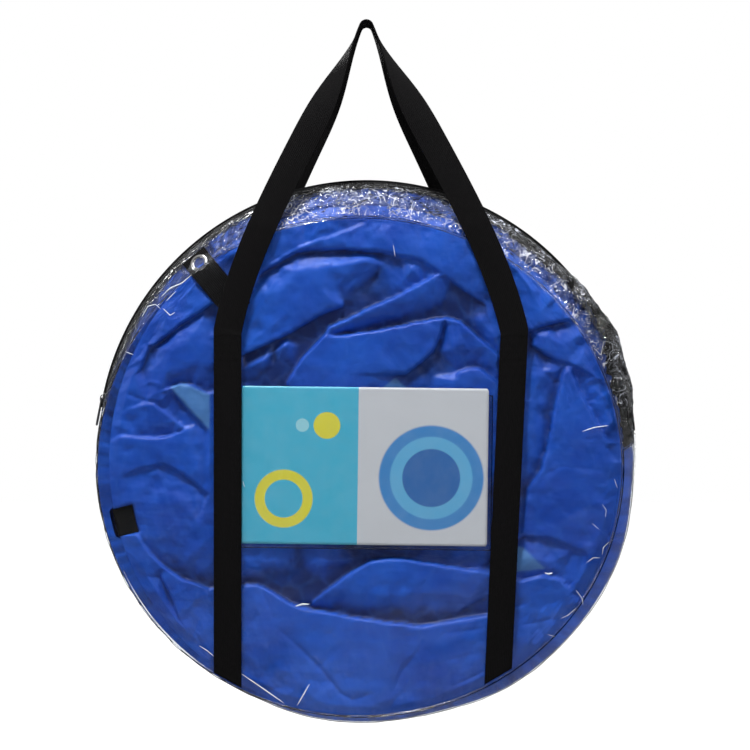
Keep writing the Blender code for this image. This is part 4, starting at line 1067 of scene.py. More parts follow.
class TUNNEL_OT_stage(bpy.types.Operator):
    """Makes the floor, the lights, the surroundings and the camera"""

    bl_idname = "tunnel.stage"
    bl_label = "Studio Stage"

    def execute(self, context):
        """Camera straight on with a long lens, and soft lights, most of them in front and above."""
        scene = context.scene
        data = bpy.data.cameras.new("Camera")
        data.sensor_width = 36
        data.lens = 36 * VIEW_DISTANCE / (750 * PICTURE_POINT)
        data.clip_end = 30
        scene.camera = linked("Camera", data)
        scene.camera.location = (VIEW_X, -VIEW_DISTANCE, VIEW_Z)
        scene.camera.rotation_euler = (math.pi / 2, 0, 0)
        for name, place, size, power in (
            ("key_light", (-0.35, -0.72, 1.30), 0.28, 29.0),
            ("left_light", (-1.45, -0.55, 0.35), 0.22, 4.5),
            ("right_light", (1.35, -0.50, 0.75), 0.24, 5.0),
            ("high_light", (0.55, -0.30, 1.45), 0.24, 6.0),
            ("front_light", (0.75, -1.75, 0.25), 0.30, 3.0),
            ("back_light", (-0.6, 1.9, 0.5), 0.80, 12.0),
        ):
            lamp = bpy.data.lights.new(name, "AREA")
            lamp.shape = "DISK"
            lamp.size = size
            lamp.energy = power
            thing = linked(name, lamp)
            thing.location = place
            sight = Vector((0, 0, MIDDLE_Z)) - Vector(place)
            thing.rotation_euler = sight.to_track_quat("-Z", "Y").to_euler()
        self.floor()
        self.surroundings(scene)
        scene.view_settings.view_transform = "Standard"
        return {"FINISHED"}

    def floor(self):
        """A wide pale square that shines white to the camera and more so far away."""
        mesh = bpy.data.meshes.new("floor")
        corners = [(x * FLOOR_HALF, y * FLOOR_HALF, FLOOR_Z) for x, y in ((-1, -1), (1, -1), (1, 1), (-1, 1))]
        mesh.from_pydata(corners, [], [(0, 1, 2, 3)])
        ground = linked("floor", mesh)
        ground.visible_glossy = False
        material, tree, shader, place = new_material("Pale Floor")
        grain = use_group(tree, rubbing_group(), place["Object"], Size=3.0)["Mask"]
        far = node(tree, "ShaderNodeVectorMath", operation="LENGTH")
        tree.links.new(place["Object"], far.inputs[0])
        glow = map_range(tree, far.outputs["Value"], 0.5, 2.0, 0.62, 1.0)
        feed(
            tree, shader, Base_Color=mix_colours(tree, grain, (0.44, 0.44, 0.44), (0.46, 0.46, 0.46)),
            Roughness=0.9, Specular_IOR_Level=0.1, Emission_Color=(1, 1, 1, 1),
            Emission_Strength=math_node(tree, "MULTIPLY", seen_straight(tree), glow),
        )
        mesh.materials.append(material)

    def surroundings(self, scene):
        """A white world where the camera sees it and at the sides in mirrors, and a dim one elsewhere."""
        scene.world = bpy.data.worlds.new("Studio")
        scene.world.use_nodes = True
        tree = scene.world.node_tree
        tree.nodes.clear()
        direction = node(tree, "ShaderNodeTexCoord").outputs["Generated"]
        split = node(tree, "ShaderNodeSeparateXYZ", Vector=direction).outputs
        # The room is darker straight in front of the panels, as it is beyond a studio's lamps
        facing = math_node(tree, "ABSOLUTE", split["Y"])
        low = map_range(tree, split["Z"], -0.55, -0.02, 0.06, 0.0)
        around = map_range(tree, facing, 0.50, 0.90, 0.24, 0.02)
        mirrored = node(tree, "ShaderNodeLightPath").outputs["Is Glossy Ray"]
        for share in (
            map_range(tree, facing, 0.25, 0.75, 0.45, 0.0),
            map_range(tree, split["X"], -0.55, 0.0, 0.2, 1.0),
            map_range(tree, split["Z"], -0.35, 0.0, 0.25, 1.0),
        ):
            mirrored = math_node(tree, "MULTIPLY", mirrored, share)
        mix = node(tree, "ShaderNodeMixShader")
        tree.links.new(math_node(tree, "MAXIMUM", seen_straight(tree), mirrored), mix.inputs[0])
        for index, strength in ((1, math_node(tree, "MAXIMUM", low, around)), (2, 1.0)):
            light = node(tree, "ShaderNodeBackground", Color=(1, 1, 1, 1), Strength=strength)
            tree.links.new(light.outputs[0], mix.inputs[index])
        node(tree, "ShaderNodeOutputWorld", Surface=mix.outputs[0])


# Tunnel

def settle(points, slack, pinned, steps, bending):
    """Lets a grid of cloth points settle as cloth that is longer than its space by the share slack, with no
    gravity, and returns where they come to rest. pinned is a mask of the points that stay."""
    thing = linked("settle", grid_mesh("settle", points))
    thing.vertex_groups.new(name="pinned").add(np.flatnonzero(pinned.ravel()).tolist(), 1.0, "REPLACE")
    cloth = thing.modifiers.new("cloth", "CLOTH")
    for key, value in {
        "quality": 6, "mass": 0.12, "air_damping": 3.0, "tension_stiffness": 20.0,
        "compression_stiffness": 20.0, "shear_stiffness": 8.0, "bending_stiffness": bending,
        "bending_damping": 1.0, "vertex_group_mass": "pinned", "shrink_min": -slack, "shrink_max": -slack,
    }.items():
        setattr(cloth.settings, key, value)
    cloth.settings.effector_weights.gravity = 0.0
    cloth.collision_settings.use_collision = cloth.collision_settings.use_self_collision = False
    cloth.point_cache.frame_start, cloth.point_cache.frame_end = 1, steps
    scene = bpy.context.scene
    for step in range(1, steps + 1):
        scene.frame_set(step)
    evaluated = thing.evaluated_get(bpy.context.evaluated_depsgraph_get()).to_mesh()
    rest = np.empty(points.size, np.float32)
    evaluated.vertices.foreach_get("co", rest)
    discard(thing)
    scene.frame_set(1)
    return rest.reshape(points.shape).astype(float)


def facets(x, z, places, heights):
    """Height at x, z of the flat facets that join scattered places: the places are joined into triangles
    whose circles are empty, and each point takes the weighted mean of its triangle's three corners."""
    vectors = [Vector(place) for place in places.tolist()]
    corners, _, triangles, origins, _, _ = delaunay_2d_cdt(vectors, [], [], 0, 1e-7)
    corners = np.array([tuple(corner) for corner in corners])
    tall = np.array([heights[origin[0]] if origin else 0.0 for origin in origins])
    flat_x, flat_z = x.ravel().astype(np.float32), z.ravel().astype(np.float32)
    total = np.zeros(flat_x.shape, np.float32)
    for a, b, c in triangles:
        (ax, az), (bx, bz), (cx, cz) = corners[a], corners[b], corners[c]
        near = np.flatnonzero(
            (flat_x >= min(ax, bx, cx) - 1e-6) & (flat_x <= max(ax, bx, cx) + 1e-6)
            & (flat_z >= min(az, bz, cz) - 1e-6) & (flat_z <= max(az, bz, cz) + 1e-6)
        )
        area = (bx - ax) * (cz - az) - (cx - ax) * (bz - az)
        dx, dz = flat_x[near] - ax, flat_z[near] - az
        share_b = (dx * (cz - az) - (cx - ax) * dz) / area
        share_c = ((bx - ax) * dz - dx * (bz - az)) / area
        inside = (share_b > -1e-4) & (share_c > -1e-4) & (share_b + share_c < 1 + 1e-4)
        rise = tall[a] + share_b * (tall[b] - tall[a])
        total[near[inside]] = (rise + share_c * (tall[c] - tall[a]))[inside]
    return total.reshape(x.shape).astype(float)


def fold_net():
    """Places and heights of the front cloth's folds: each fold edge gives two rows of places, one on each
    side of its line, as close as a folded edge is thick."""
    places, heights = [], []
    for edge in FOLD_EDGES:
        line = np.array([picture(px, py) for px, py, _, _ in edge])
        sides = np.array([corner[2:] for corner in edge]) / 1000
        count = max(3, int(lengths(line)[-1] / 0.007))
        points, tall = follow(line, count), follow(line, count, sides)
        along = unit(np.gradient(points, axis=0))
        left = np.stack([-along[:, 1], along[:, 0]], -1)
        for offset, column in ((0.0008, 0), (-0.0008, 1)):
            places.append(points + left * offset)
            heights.append(tall[:, column])
    places.append(np.array([picture(px, py) for px, py, _ in FACET_POINTS]))
    heights.append(np.array(FACET_POINTS)[:, 2] / 1000)
    ring = np.random.default_rng(5).uniform(-0.0003, 0.0014, 90)
    for radius, tall in ((MOUTH_RADIUS + 0.0005, np.full(90, -0.0012)), (0.2205, ring)):
        places.append(circle(radius, 90))
        heights.append(tall)
    return np.concatenate(places), np.concatenate(heights)


def front_cloth_points():
    """The front mouth's loose cloth: flat facets between the fold edges, with grooves and ripples, blended
    with the same sheet let settle as slack cloth, and pressed softly between the front panel and the pleats.

    Returns world x, y, z. Height in words: most of the facets and a share of the settled sheet, then a soft
    limit that bends off by a hyperbolic tangent before it reaches either neighbour."""
    sizes = bpy.context.scene.tunnel_sizes
    places, heights = fold_net()
    x, z, share = disc(CLOTH_GRID, MOUTH_RADIUS)
    height = facets(x, z, places, heights)
    coarse_x, coarse_z, coarse_share = disc(COARSE_GRID, MOUTH_RADIUS)
    sheet = np.stack([coarse_x, -facets(coarse_x, coarse_z, places, heights), coarse_z], -1)
    settled = settle(sheet, sizes.cloth_wave, coarse_share > 0.985, 26, 0.6)
    line, fine = np.linspace(-1, 1, COARSE_GRID), np.linspace(-1, 1, CLOTH_GRID)
    rows = np.stack([np.interp(fine, line, row) for row in -settled[..., 1]])
    slack = np.stack([np.interp(fine, line, column) for column in rows.T], 1)
    height = 0.86 * height + 0.34 * slack
    fade = smooth((1 - share) / 0.06)
    height = height + crease_height(x, z, GROOVES) * fade
    height = height + (0.00026 * ripple(x, z, 0.016, 12) + 0.00009 * ripple(x, z, 0.006, 13)) * fade
    y = CLOTH_MIDDLE_Y - CLOTH_HALF * np.tanh(1.7 * height / CLOTH_HALF)
    return x + TUNNEL_X, y, z + TUNNEL_Z


class TUNNEL_OT_front_cloth(bpy.types.Operator):
    """Makes the loose cloth of the front mouth"""

    bl_idname = "tunnel.front_cloth"
    bl_label = "Front Cloth"

    def execute(self, context):
        x, y, z = front_cloth_points()
        from_x, from_z = x - TUNNEL_X, z - TUNNEL_Z
        radius = np.hypot(from_x, from_z)
        # Behind the card's pocket and behind the two tabs the cloth is held further back
        middle_x, middle_z = np.abs(x - CARD_X), np.abs(z - MIDDLE_Z - CARD_Z)
        card = smooth((0.1215 - middle_x) / 0.004) * smooth((0.0815 - middle_z) / 0.004)
        y = np.maximum(y, -0.0240 + 0.0012 * card)
        out, aside = off_ray(from_x, from_z, UPPER_TAB_ANGLE)
        path = tab_paths()["front_upper"][1][::-1]
        near = smooth((0.0155 - np.abs(aside)) / 0.004) * smooth((out - 0.168) / 0.006)
        y = np.maximum(y, np.interp(out, path[:, 0], path[:, 1]) + 0.0014 - 0.01 * (1 - near))
        out, aside = off_ray(from_x, from_z, SIDE_TAB_ANGLE)
        near = smooth((0.0150 - np.abs(aside)) / 0.003) * smooth((radius * (out > 0) - 0.2085) / 0.004)
        y = np.maximum(y, -0.0154 - 0.01 * (1 - near))
        mesh = grid_mesh("front_mouth_cloth", np.stack([x, y, z], -1))
        # Painted light: inside these places the cloth is marked to be coloured paler, as if lit through
        single = np.zeros(x.shape)
        for corners in SINGLE_LAYERS:
            places = np.array([picture(*corner) for corner in corners])
            edges = zip(places, np.roll(places, -1, axis=0))
            depth = np.minimum.reduce([beside(from_x, from_z, start, end)[1] for start, end in edges])
            single = np.maximum(single, smooth(depth / 0.0016))
        mark_points(mesh, "single_layer", single)
        # Painted shade: the cloth is coloured darker the deeper it lies in its folds
        mark_points(mesh, "hollow", smooth((y - CLOTH_MIDDLE_Y) / 0.0042) * smooth((0.2255 - radius) / 0.01))
        nylon = nylon_material()
        thing = piece("front_mouth_cloth", mesh, nylon, "bag", ["tunnel_front_cloth"])
        return {"FINISHED"}


class TUNNEL_OT_rear_cloth(bpy.types.Operator):
    """Makes the loose cloth of the rear mouth"""

    bl_idname = "tunnel.rear_cloth"
    bl_label = "Rear Cloth"

    def execute(self, context):
        """Height in words: a low crown with creases and ripples, between the last pleat and the panel."""
        x, z, share = disc(181, REAR_MOUTH_RADIUS)
        rim = smooth((1 - share) / 0.08)
        slow = 0.0004 * ripple(x, z, 0.045, 21) + 0.00025 * ripple(x, z, 0.018, 22)
        height = (crease_height(x, z, REAR_CREASES) * 1.1 + slow + 0.0008) * rim
        y = np.clip(0.0189 + 0.0020 * np.tanh(height / 0.0020), 0.0185, 0.0214)
        mesh = grid_mesh("rear_mouth_cloth", np.stack([x + TUNNEL_X, y, z + TUNNEL_Z], -1))
        thing = piece("rear_mouth_cloth", mesh, nylon_material(), "bag", ["tunnel_rear_cloth"])
        thicken(thing, 0.00025)
        return {"FINISHED"}


def helix(turn):
    """Points of the wire's spiral after a number of turns: a circle that runs back by a pitch each turn."""
    return round_points(COIL_LINE_RADIUS, WIRE_START + TURN * turn, FIRST_TURN_Y + WIRE_PITCH * turn)


class TUNNEL_OT_coils(bpy.types.Operator):
    """Makes the spring wire, its cloth casing, the end sleeves, the pleats and the bound hems"""

    bl_idname = "tunnel.coils"
    bl_label = "Wire and Pleats"

    def execute(self, context):
        steel = metal_material("Spring Steel", "spring_steel", 0.28, 300.0)
        path = helix(np.linspace(0, WIRE_TURNS, WIRE_TURNS * 120 + 1))
        wire = tube_mesh("spring_wire", path, WIRE_RADIUS - 0.00005)
        piece("spring_wire", wire, steel, "bag", ["tunnel_wire"])
        # The casing leaves the crimp sleeves free: clear is their length in turns
        clear = 0.011 / (TURN * COIL_LINE_RADIUS)
        path = helix(np.linspace(clear, WIRE_TURNS - clear, int((WIRE_TURNS - 2 * clear) * 160) + 1))
        away = unit(spoke(path, TUNNEL_X, TUNNEL_Z))
        side = np.cross(unit(np.gradient(path, axis=0)), away)
        step = np.arange(len(path))
        gather = (1 + 0.03 * np.sin(step * 2.1) * np.sin(step * 0.37))[:, None]
        profile = circle(WIRE_RADIUS + context.scene.tunnel_sizes.casing_wall, 10)
        points = sweep(path, side * gather, away * gather, profile)
        casing = grid_mesh("wire_casing", points, sweep_uv(path, profile), wrap_columns=True)
        piece("wire_casing", casing, nylon_material(), "bag", ())
        bore, radius, half = 0.0016, 0.0020, 0.008
        ring = [
            (bore, half - 0.0002), (bore + 0.0001, half), (radius - 0.0002, half), (radius, half - 0.0003),
            (radius, 0.002), (radius - 0.00025, 0.0012),
        ]
        ring += [(out, -height) for out, height in ring[::-1]]
        for name, begin, sign in (("wire_sleeve_front", 0.0, 1), ("wire_sleeve_rear", float(WIRE_TURNS), -1)):
            end, inner = helix(np.array([begin, begin + sign * clear]))
            run = unit(inner - end)
            guide = unit(np.cross(run, [0, 1, 0]))
            place = frame_matrix(guide, np.cross(run, guide), run, end + run * (half - 0.0004))
            mesh = turned_mesh(f"crimp_{name}", ring, place, 32)
            piece(f"crimp_{name}", mesh, steel, "bag", [name])
        self.pleats()
        self.hems()
        self.rim_roll()
        return {"FINISHED"}

    def rim_roll(self):
        """The gathered cloth that bulges out round the coils. At each angle it leaves the front hem, lies
        just inside the clear band, and comes back at the rear hem; its gathers are ripples across it that go
        inwards only.

        In words: across runs 0 to 1. The outer line is the band's surface less the clearance; both ends bend
        in to the hems by a quarter circle. Under the upper tab it stays down on the coils, and it passes
        outside the side tab."""
        angle = np.linspace(0, TURN, 900, endpoint=False)[:, None]
        across = np.concatenate([np.linspace(0, 0.94, 38), [0.96, 0.975, 0.99, 1.0]])[None, :]
        y = -0.0216 + 0.0454 * across
        skin = section(angle, y)
        run = angle * GATHER_RADIUS
        gathers = (
            0.55 * ripple(run * 1.8, y * 0.30, 0.013, 91) + 0.45 * ripple(run, y * 0.5, 0.034, 92)
            + 0.25 * ripple(run * 1.4, y, 0.007, 93)
        )
        zipped = window(angle, ZIP_RIGHT - 0.06, ZIP_LEFT + 0.08, 0.05)
        clearance = (
            0.0008 + (0.0001 + 0.0007 * zipped) * (1 + np.tanh(gathers)) - band_offset(angle, y, False)
            + zipped * (0.0024 * bump(y, 0.0125, 0.012) + 0.0017 * smooth((0.004 - y) / 0.004))
            + 0.0012 * bump(angle, SLIDER_ANGLE, 0.035) * bump(y, 0.0125, 0.011)
        )
        ray = spoke(skin - unit(spoke(skin)) * clearance[..., None], TUNNEL_X, TUNNEL_Z)
        reach, turned = np.hypot(ray[..., 0], ray[..., 2]), np.arctan2(ray[..., 2], ray[..., 0])
        hem_radius = 0.2292
        # Quarter-round ends: the reach grows from the hem to the band over a short way at both ends
        front, rear = (
            np.sqrt(1 - (1 - np.clip(near, 0, 1)) ** 2) for near in (across / 0.13, (1 - across) / 0.05)
        )
        low_tab = smooth((math.radians(3.9) - turned_from(turned, SIDE_TAB_ANGLE)) / 0.02)
        high_tab = smooth((math.radians(4.6) - turned_from(turned, UPPER_TAB_ANGLE)) / 0.02)
        rise = front * rear * (1 - high_tab * smooth((0.002 - y) / 0.006))
        over_tab = 0.0043 * low_tab * smooth((0.0125 - y) / 0.003)
        radius = hem_radius + np.maximum(np.maximum(reach - hem_radius, 0) * rise, over_tab)
        end_y = np.interp(across, [0, 0.13, 0.9, 1], [0.0050, 0.0, 0.0, -0.0010])
        mesh = grid_mesh("rim_cloth", round_points(radius, turned, y + end_y), wrap_rows=True)
        # Painted shade: the roll is coloured darker all round, most along the zip and in the hollows between
        # its gathers
        mark_points(mesh, "hollow", np.clip(0.34 + 0.48 * zipped + 0.34 * np.tanh(1.2 * gathers), 0, 1.0))
        thing = piece("rim_cloth", mesh, nylon_material(), "bag", ())

    def pleats(self):
        """The cloth between the turns: a zigzag of depth over radius, turned about the axis, whose inner
        edges wander by ripples round the ring."""
        bays = WIRE_TURNS - 1
        t = np.linspace(0, bays, bays * 12 + 1)[None, :]
        share = np.abs((t % 1) * 2 - 1)
        angle = np.linspace(0, TURN, 300, endpoint=False)[:, None]
        deep = 0.083 + 0.0015 * ripple(np.cos(angle) * 0.2, np.sin(angle) * 0.2, 0.05, 31)
        wave = 0.00022 * ripple(angle * 0.2, t * 0.02, 0.012, 32) * np.sin(math.pi * t / bays)
        y = FIRST_TURN_Y + 0.0004 + (LAST_TURN_Y - FIRST_TURN_Y - 0.0008) * t / bays + wave
        points = round_points(0.2228 - deep * (1 - share), angle, y)
        mesh = grid_mesh("folded_cloth", points, wrap_rows=True)
        thing = piece("folded_cloth", mesh, nylon_material(), "bag", ["tunnel_pleats"])
        thicken(thing, 0.00022)

    def hems(self):
        """Bound edges: flat rings with a rounded section, rippled by the gathered cloth."""
        angle = np.linspace(0, TURN, 480, endpoint=False)[:, None]
        ripples = 1 + 0.05 * np.sin(angle * 95) * np.sin(angle * 17)
        for name, low, high in (("front", -0.0155, -0.0135), ("rear", 0.0199, 0.0219)):
            wide, deep = rounded_profile(0.005, high - low, 0.0008).T[:, None]
            points = round_points(0.2260 + wide, angle, (low + high) / 2 + deep * (0.93 * ripples))
            mesh = grid_mesh(f"bound_{name}_hem", points, wrap_rows=True, wrap_columns=True)
            piece(f"bound_{name}_hem", mesh, nylon_material(), "bag", [f"tunnel_{name}_hem"])


def tab_paths():
    """The four tabs: for each the angle in degrees at which it points out, the path of radius and depth that
    its middle follows, and its eyelet's place on that path."""
    eyelet, end, bend, flat, foot = 0.2315, 0.2405, 0.2220, 0.2140, 0.1745
    foot_y, bend_y, slope = -0.02285, -0.02205, 0.60366
    side_r, side_y, rear_y = 0.2301, -0.01675, 0.02285
    rear = ((0.2282, rear_y), (0.1922, rear_y))
    tabs = {
        "front_upper": (
            UPPER_TAB_ANGLE,
            ((end, bend_y + (end - bend) * slope), (bend, bend_y), (flat, foot_y), (foot, foot_y)),
            (eyelet, bend_y + (eyelet - bend) * slope),
        ),
        "front_side": (
            SIDE_TAB_ANGLE, ((0.2121, side_y), (0.2281, side_y), (side_r, -0.01475), (side_r, 0.00875)),
            (side_r, -0.00375),
        ),
        "rear_right": (20, rear, (0.2032, rear_y)),
        "rear_left": (250, rear, (0.2032, rear_y)),
    }
    return {label: (angle, np.array(path), spot) for label, (angle, path, spot) in tabs.items()}


def rounded_path(corners, ease):
    """A path of straight legs whose inner corners are eased by parabolas."""
    points = [corners[0]]
    share = np.linspace(0, 1, 7)[:, None]
    for before, corner, after in zip(corners[:-2], corners[1:-1], corners[2:]):
        reach = min(ease, np.linalg.norm(corner - before) * 0.45, np.linalg.norm(after - corner) * 0.45)
        start, end = (corner + unit(other - corner) * reach for other in (before, after))
        points.extend((1 - share) ** 2 * start + 2 * share * (1 - share) * corner + share**2 * end)
    points = np.array([*points, corners[-1]])
    return follow(points, max(12, int(lengths(points)[-1] / 0.0009)))


class TUNNEL_OT_tabs(bpy.types.Operator):
    """Makes the four webbing tabs with their eyelets and washers"""

    bl_idname = "tunnel.tabs"
    bl_label = "Tabs and Eyelets"

    def execute(self, context):
        nickel = metal_material("Nickel", "nickel", 0.16, 500.0)
        bore, flange = EYELET_HOLE, EYELET_FLANGE
        face, top = WEBBING / 2 + 0.00012, WEBBING / 2 + 0.00062
        lip = [
            (bore, -top), (bore, top - 0.0006), (bore + 0.0004, top - 0.0001), (bore + 0.0010, top + 0.0001),
            (bore + 0.0018, top + 0.00005), (flange - 0.0006, top - 0.00022),
            (flange - 0.0001, face + 0.0001), (flange - 0.0002, face), (bore + 0.0005, face),
            (bore + 0.00045, -top),
        ]
        back = [
            (bore + 0.0007, -face), (flange - 0.0002, -face), (flange, -face - 0.00015),
            (flange - 0.0003, -top + 0.00005), (bore + 0.0010, -top), (bore + 0.0007, -top + 0.0001),
        ]
        profile = rounded_profile(TAB_WIDTH, WEBBING, 0.0005)
        for label, (degrees, corners, (r, y)) in tab_paths().items():
            # The tab is made on the tunnel's axis: X points out at its angle, Y across it and Z to the rear
            angle = math.radians(degrees)
            x_axis, y_axis = (math.cos(angle), 0, math.sin(angle)), (math.sin(angle), 0, -math.cos(angle))
            hub = frame_matrix(x_axis, y_axis, (0, 1, 0), (TUNNEL_X, 0, TUNNEL_Z))
            flat = rounded_path(corners, 0.0035)
            path = np.insert(flat, 1, 0.0, axis=1)
            across = np.tile([0.0, 1.0, 0.0], (len(path), 1))
            out = np.cross(unit(np.gradient(path, axis=0)), across)
            # The ring shows at the front on the upper tab, outside on the side tab, behind on the rear ones
            wanted = {"front_upper": (0, 0, -1), "front_side": (1, 0, 0)}.get(label, (0, 0, 1))
            facing = out[int(np.argmin(np.hypot(flat[:, 0] - r, flat[:, 1] - y)))]
            facing = facing * (1 if np.dot(facing, wanted) > 0 else -1)
            axis_x = unit(np.cross([0.0, 1.0, 0.0], facing))
            place = hub @ frame_matrix(axis_x, np.cross(facing, axis_x), facing, (r, 0, y))
            body = sweep(path, across, out, profile)
            mesh = grid_mesh(f"tab_{label}_webbing", body, sweep_uv(path, profile), wrap_columns=True)
            hole = plate_mesh("hole", circle(EYELET_HOLE + 0.0006, 48), -0.004, 0.004, 0.0001, place)
            mesh = cut(shift_mesh(mesh, hub), [hole])
            piece(f"tab_{label}_webbing", mesh, webbing_material(), "bag", [f"tab_{label}"])
            for name, ring, part in (("ring", lip, "eyelet"), ("back_ring", back, "washer")):
                mesh = turned_mesh(f"{name}_{label}", ring, place)
                piece(f"{name}_{label}", mesh, nickel, "bag", [f"{part}_{label}"])
            rows = []
            run = lengths(path)
            arch = (WEBBING / 2 - 0.00005) + 0.00022 * np.sin(np.linspace(0, math.pi, 5))[:, None]
            for shift in (0.0, 0.0022):
                share = 0.62 if label.startswith("front") else 0.12
                spot = np.argmin(np.abs(run - (run[-1] * share + shift)))
                for sign in (-1, 1):
                    for start in np.arange(-0.0095, 0.0095, 0.0026):
                        line = np.linspace(start, start + 0.0019, 5)[:, None] * [0, 1, 0]
                        middle = path[spot] + line + sign * arch * out[spot]
                        rows.append(tube_mesh("stitch", middle, 0.00022, 5))
            stitches = shift_mesh(joined(f"stitches_{label}", rows), hub)
            piece(f"stitches_{label}", stitches, thread_material(), "bag", ())
        return {"FINISHED"}


# Bag

def gusset_crinkle(angle, y):
    """Relief of the clear strip in front of the zip, in shares of its height: crisp ridges between scattered
    dents in three sizes, strongest towards the top and the right, and none on the two seams."""
    run = angle * GATHER_RADIUS
    wide = cells(run / 0.026 + 0.4 * ripple(run, y, 0.03, 3), y / 0.012, 5)[0] - 0.45
    medium = cells(run / 0.011 + 0.3 * ripple(run, y, 0.02, 4), y / 0.0085, 6)[0] - 0.45
    small = cells(run / 0.0056, y / 0.0044, 7)[0] - 0.45
    seams = smooth((y - FRONT_Y) / 0.0025) * smooth((0.0105 - y) / 0.004)
    strong = 0.45 + 0.55 * np.exp(-((angle - math.radians(74)) / math.radians(66)) ** 2)
    return (0.7 * wide + medium + 0.55 * small) * seams * strong


def clear_piece(name, points, material, thickness, part):
    """A clear sheet of a grid of points, which stands for a node of the bag."""
    return thicken(piece(name, grid_mesh(name, points), material, "bag", [part]), thickness)


def tape_reach(angle):
    """How far the front tape runs on under the clear strip: a narrow edge, and a wide crumpled flap at the
    upper right, in metres of depth. It is read off a short table of angles and made uneven by three sines."""
    degrees = np.degrees(angle)
    angles = [0, 22, 27, 32, 40, 52, 60, 75, 171]
    reach = np.interp(degrees, angles, [23.2, 23.2, 19.5, 14.5, 13.5, 13.0, 9.0, 2.6, 1.6]) / 1000
    uneven = 0.0012 * np.sin(angle * 47) + 0.0011 * np.sin(angle * 83 + 1) + 0.0009 * np.sin(angle * 151 + 2)
    return reach + uneven * np.clip(1.4 - np.abs(degrees - 42) / 26, 0, 1)


def rear_seam(start, end, count):
    """A path just outside the rear seam, between two angles."""
    return round_points(REAR_RADIUS + 0.0003, np.linspace(start, end, count), BACK_Y - 0.0006, (0, MIDDLE_Z))


def on_card(x, y, z):
    """World points of places on the tilted card."""
    cosine, sine = math.cos(CARD_TILT), math.sin(CARD_TILT)
    x, z = CARD_X + x * cosine - z * sine, MIDDLE_Z + CARD_Z + x * sine + z * cosine
    return np.stack(np.broadcast_arrays(x, y, z), -1)


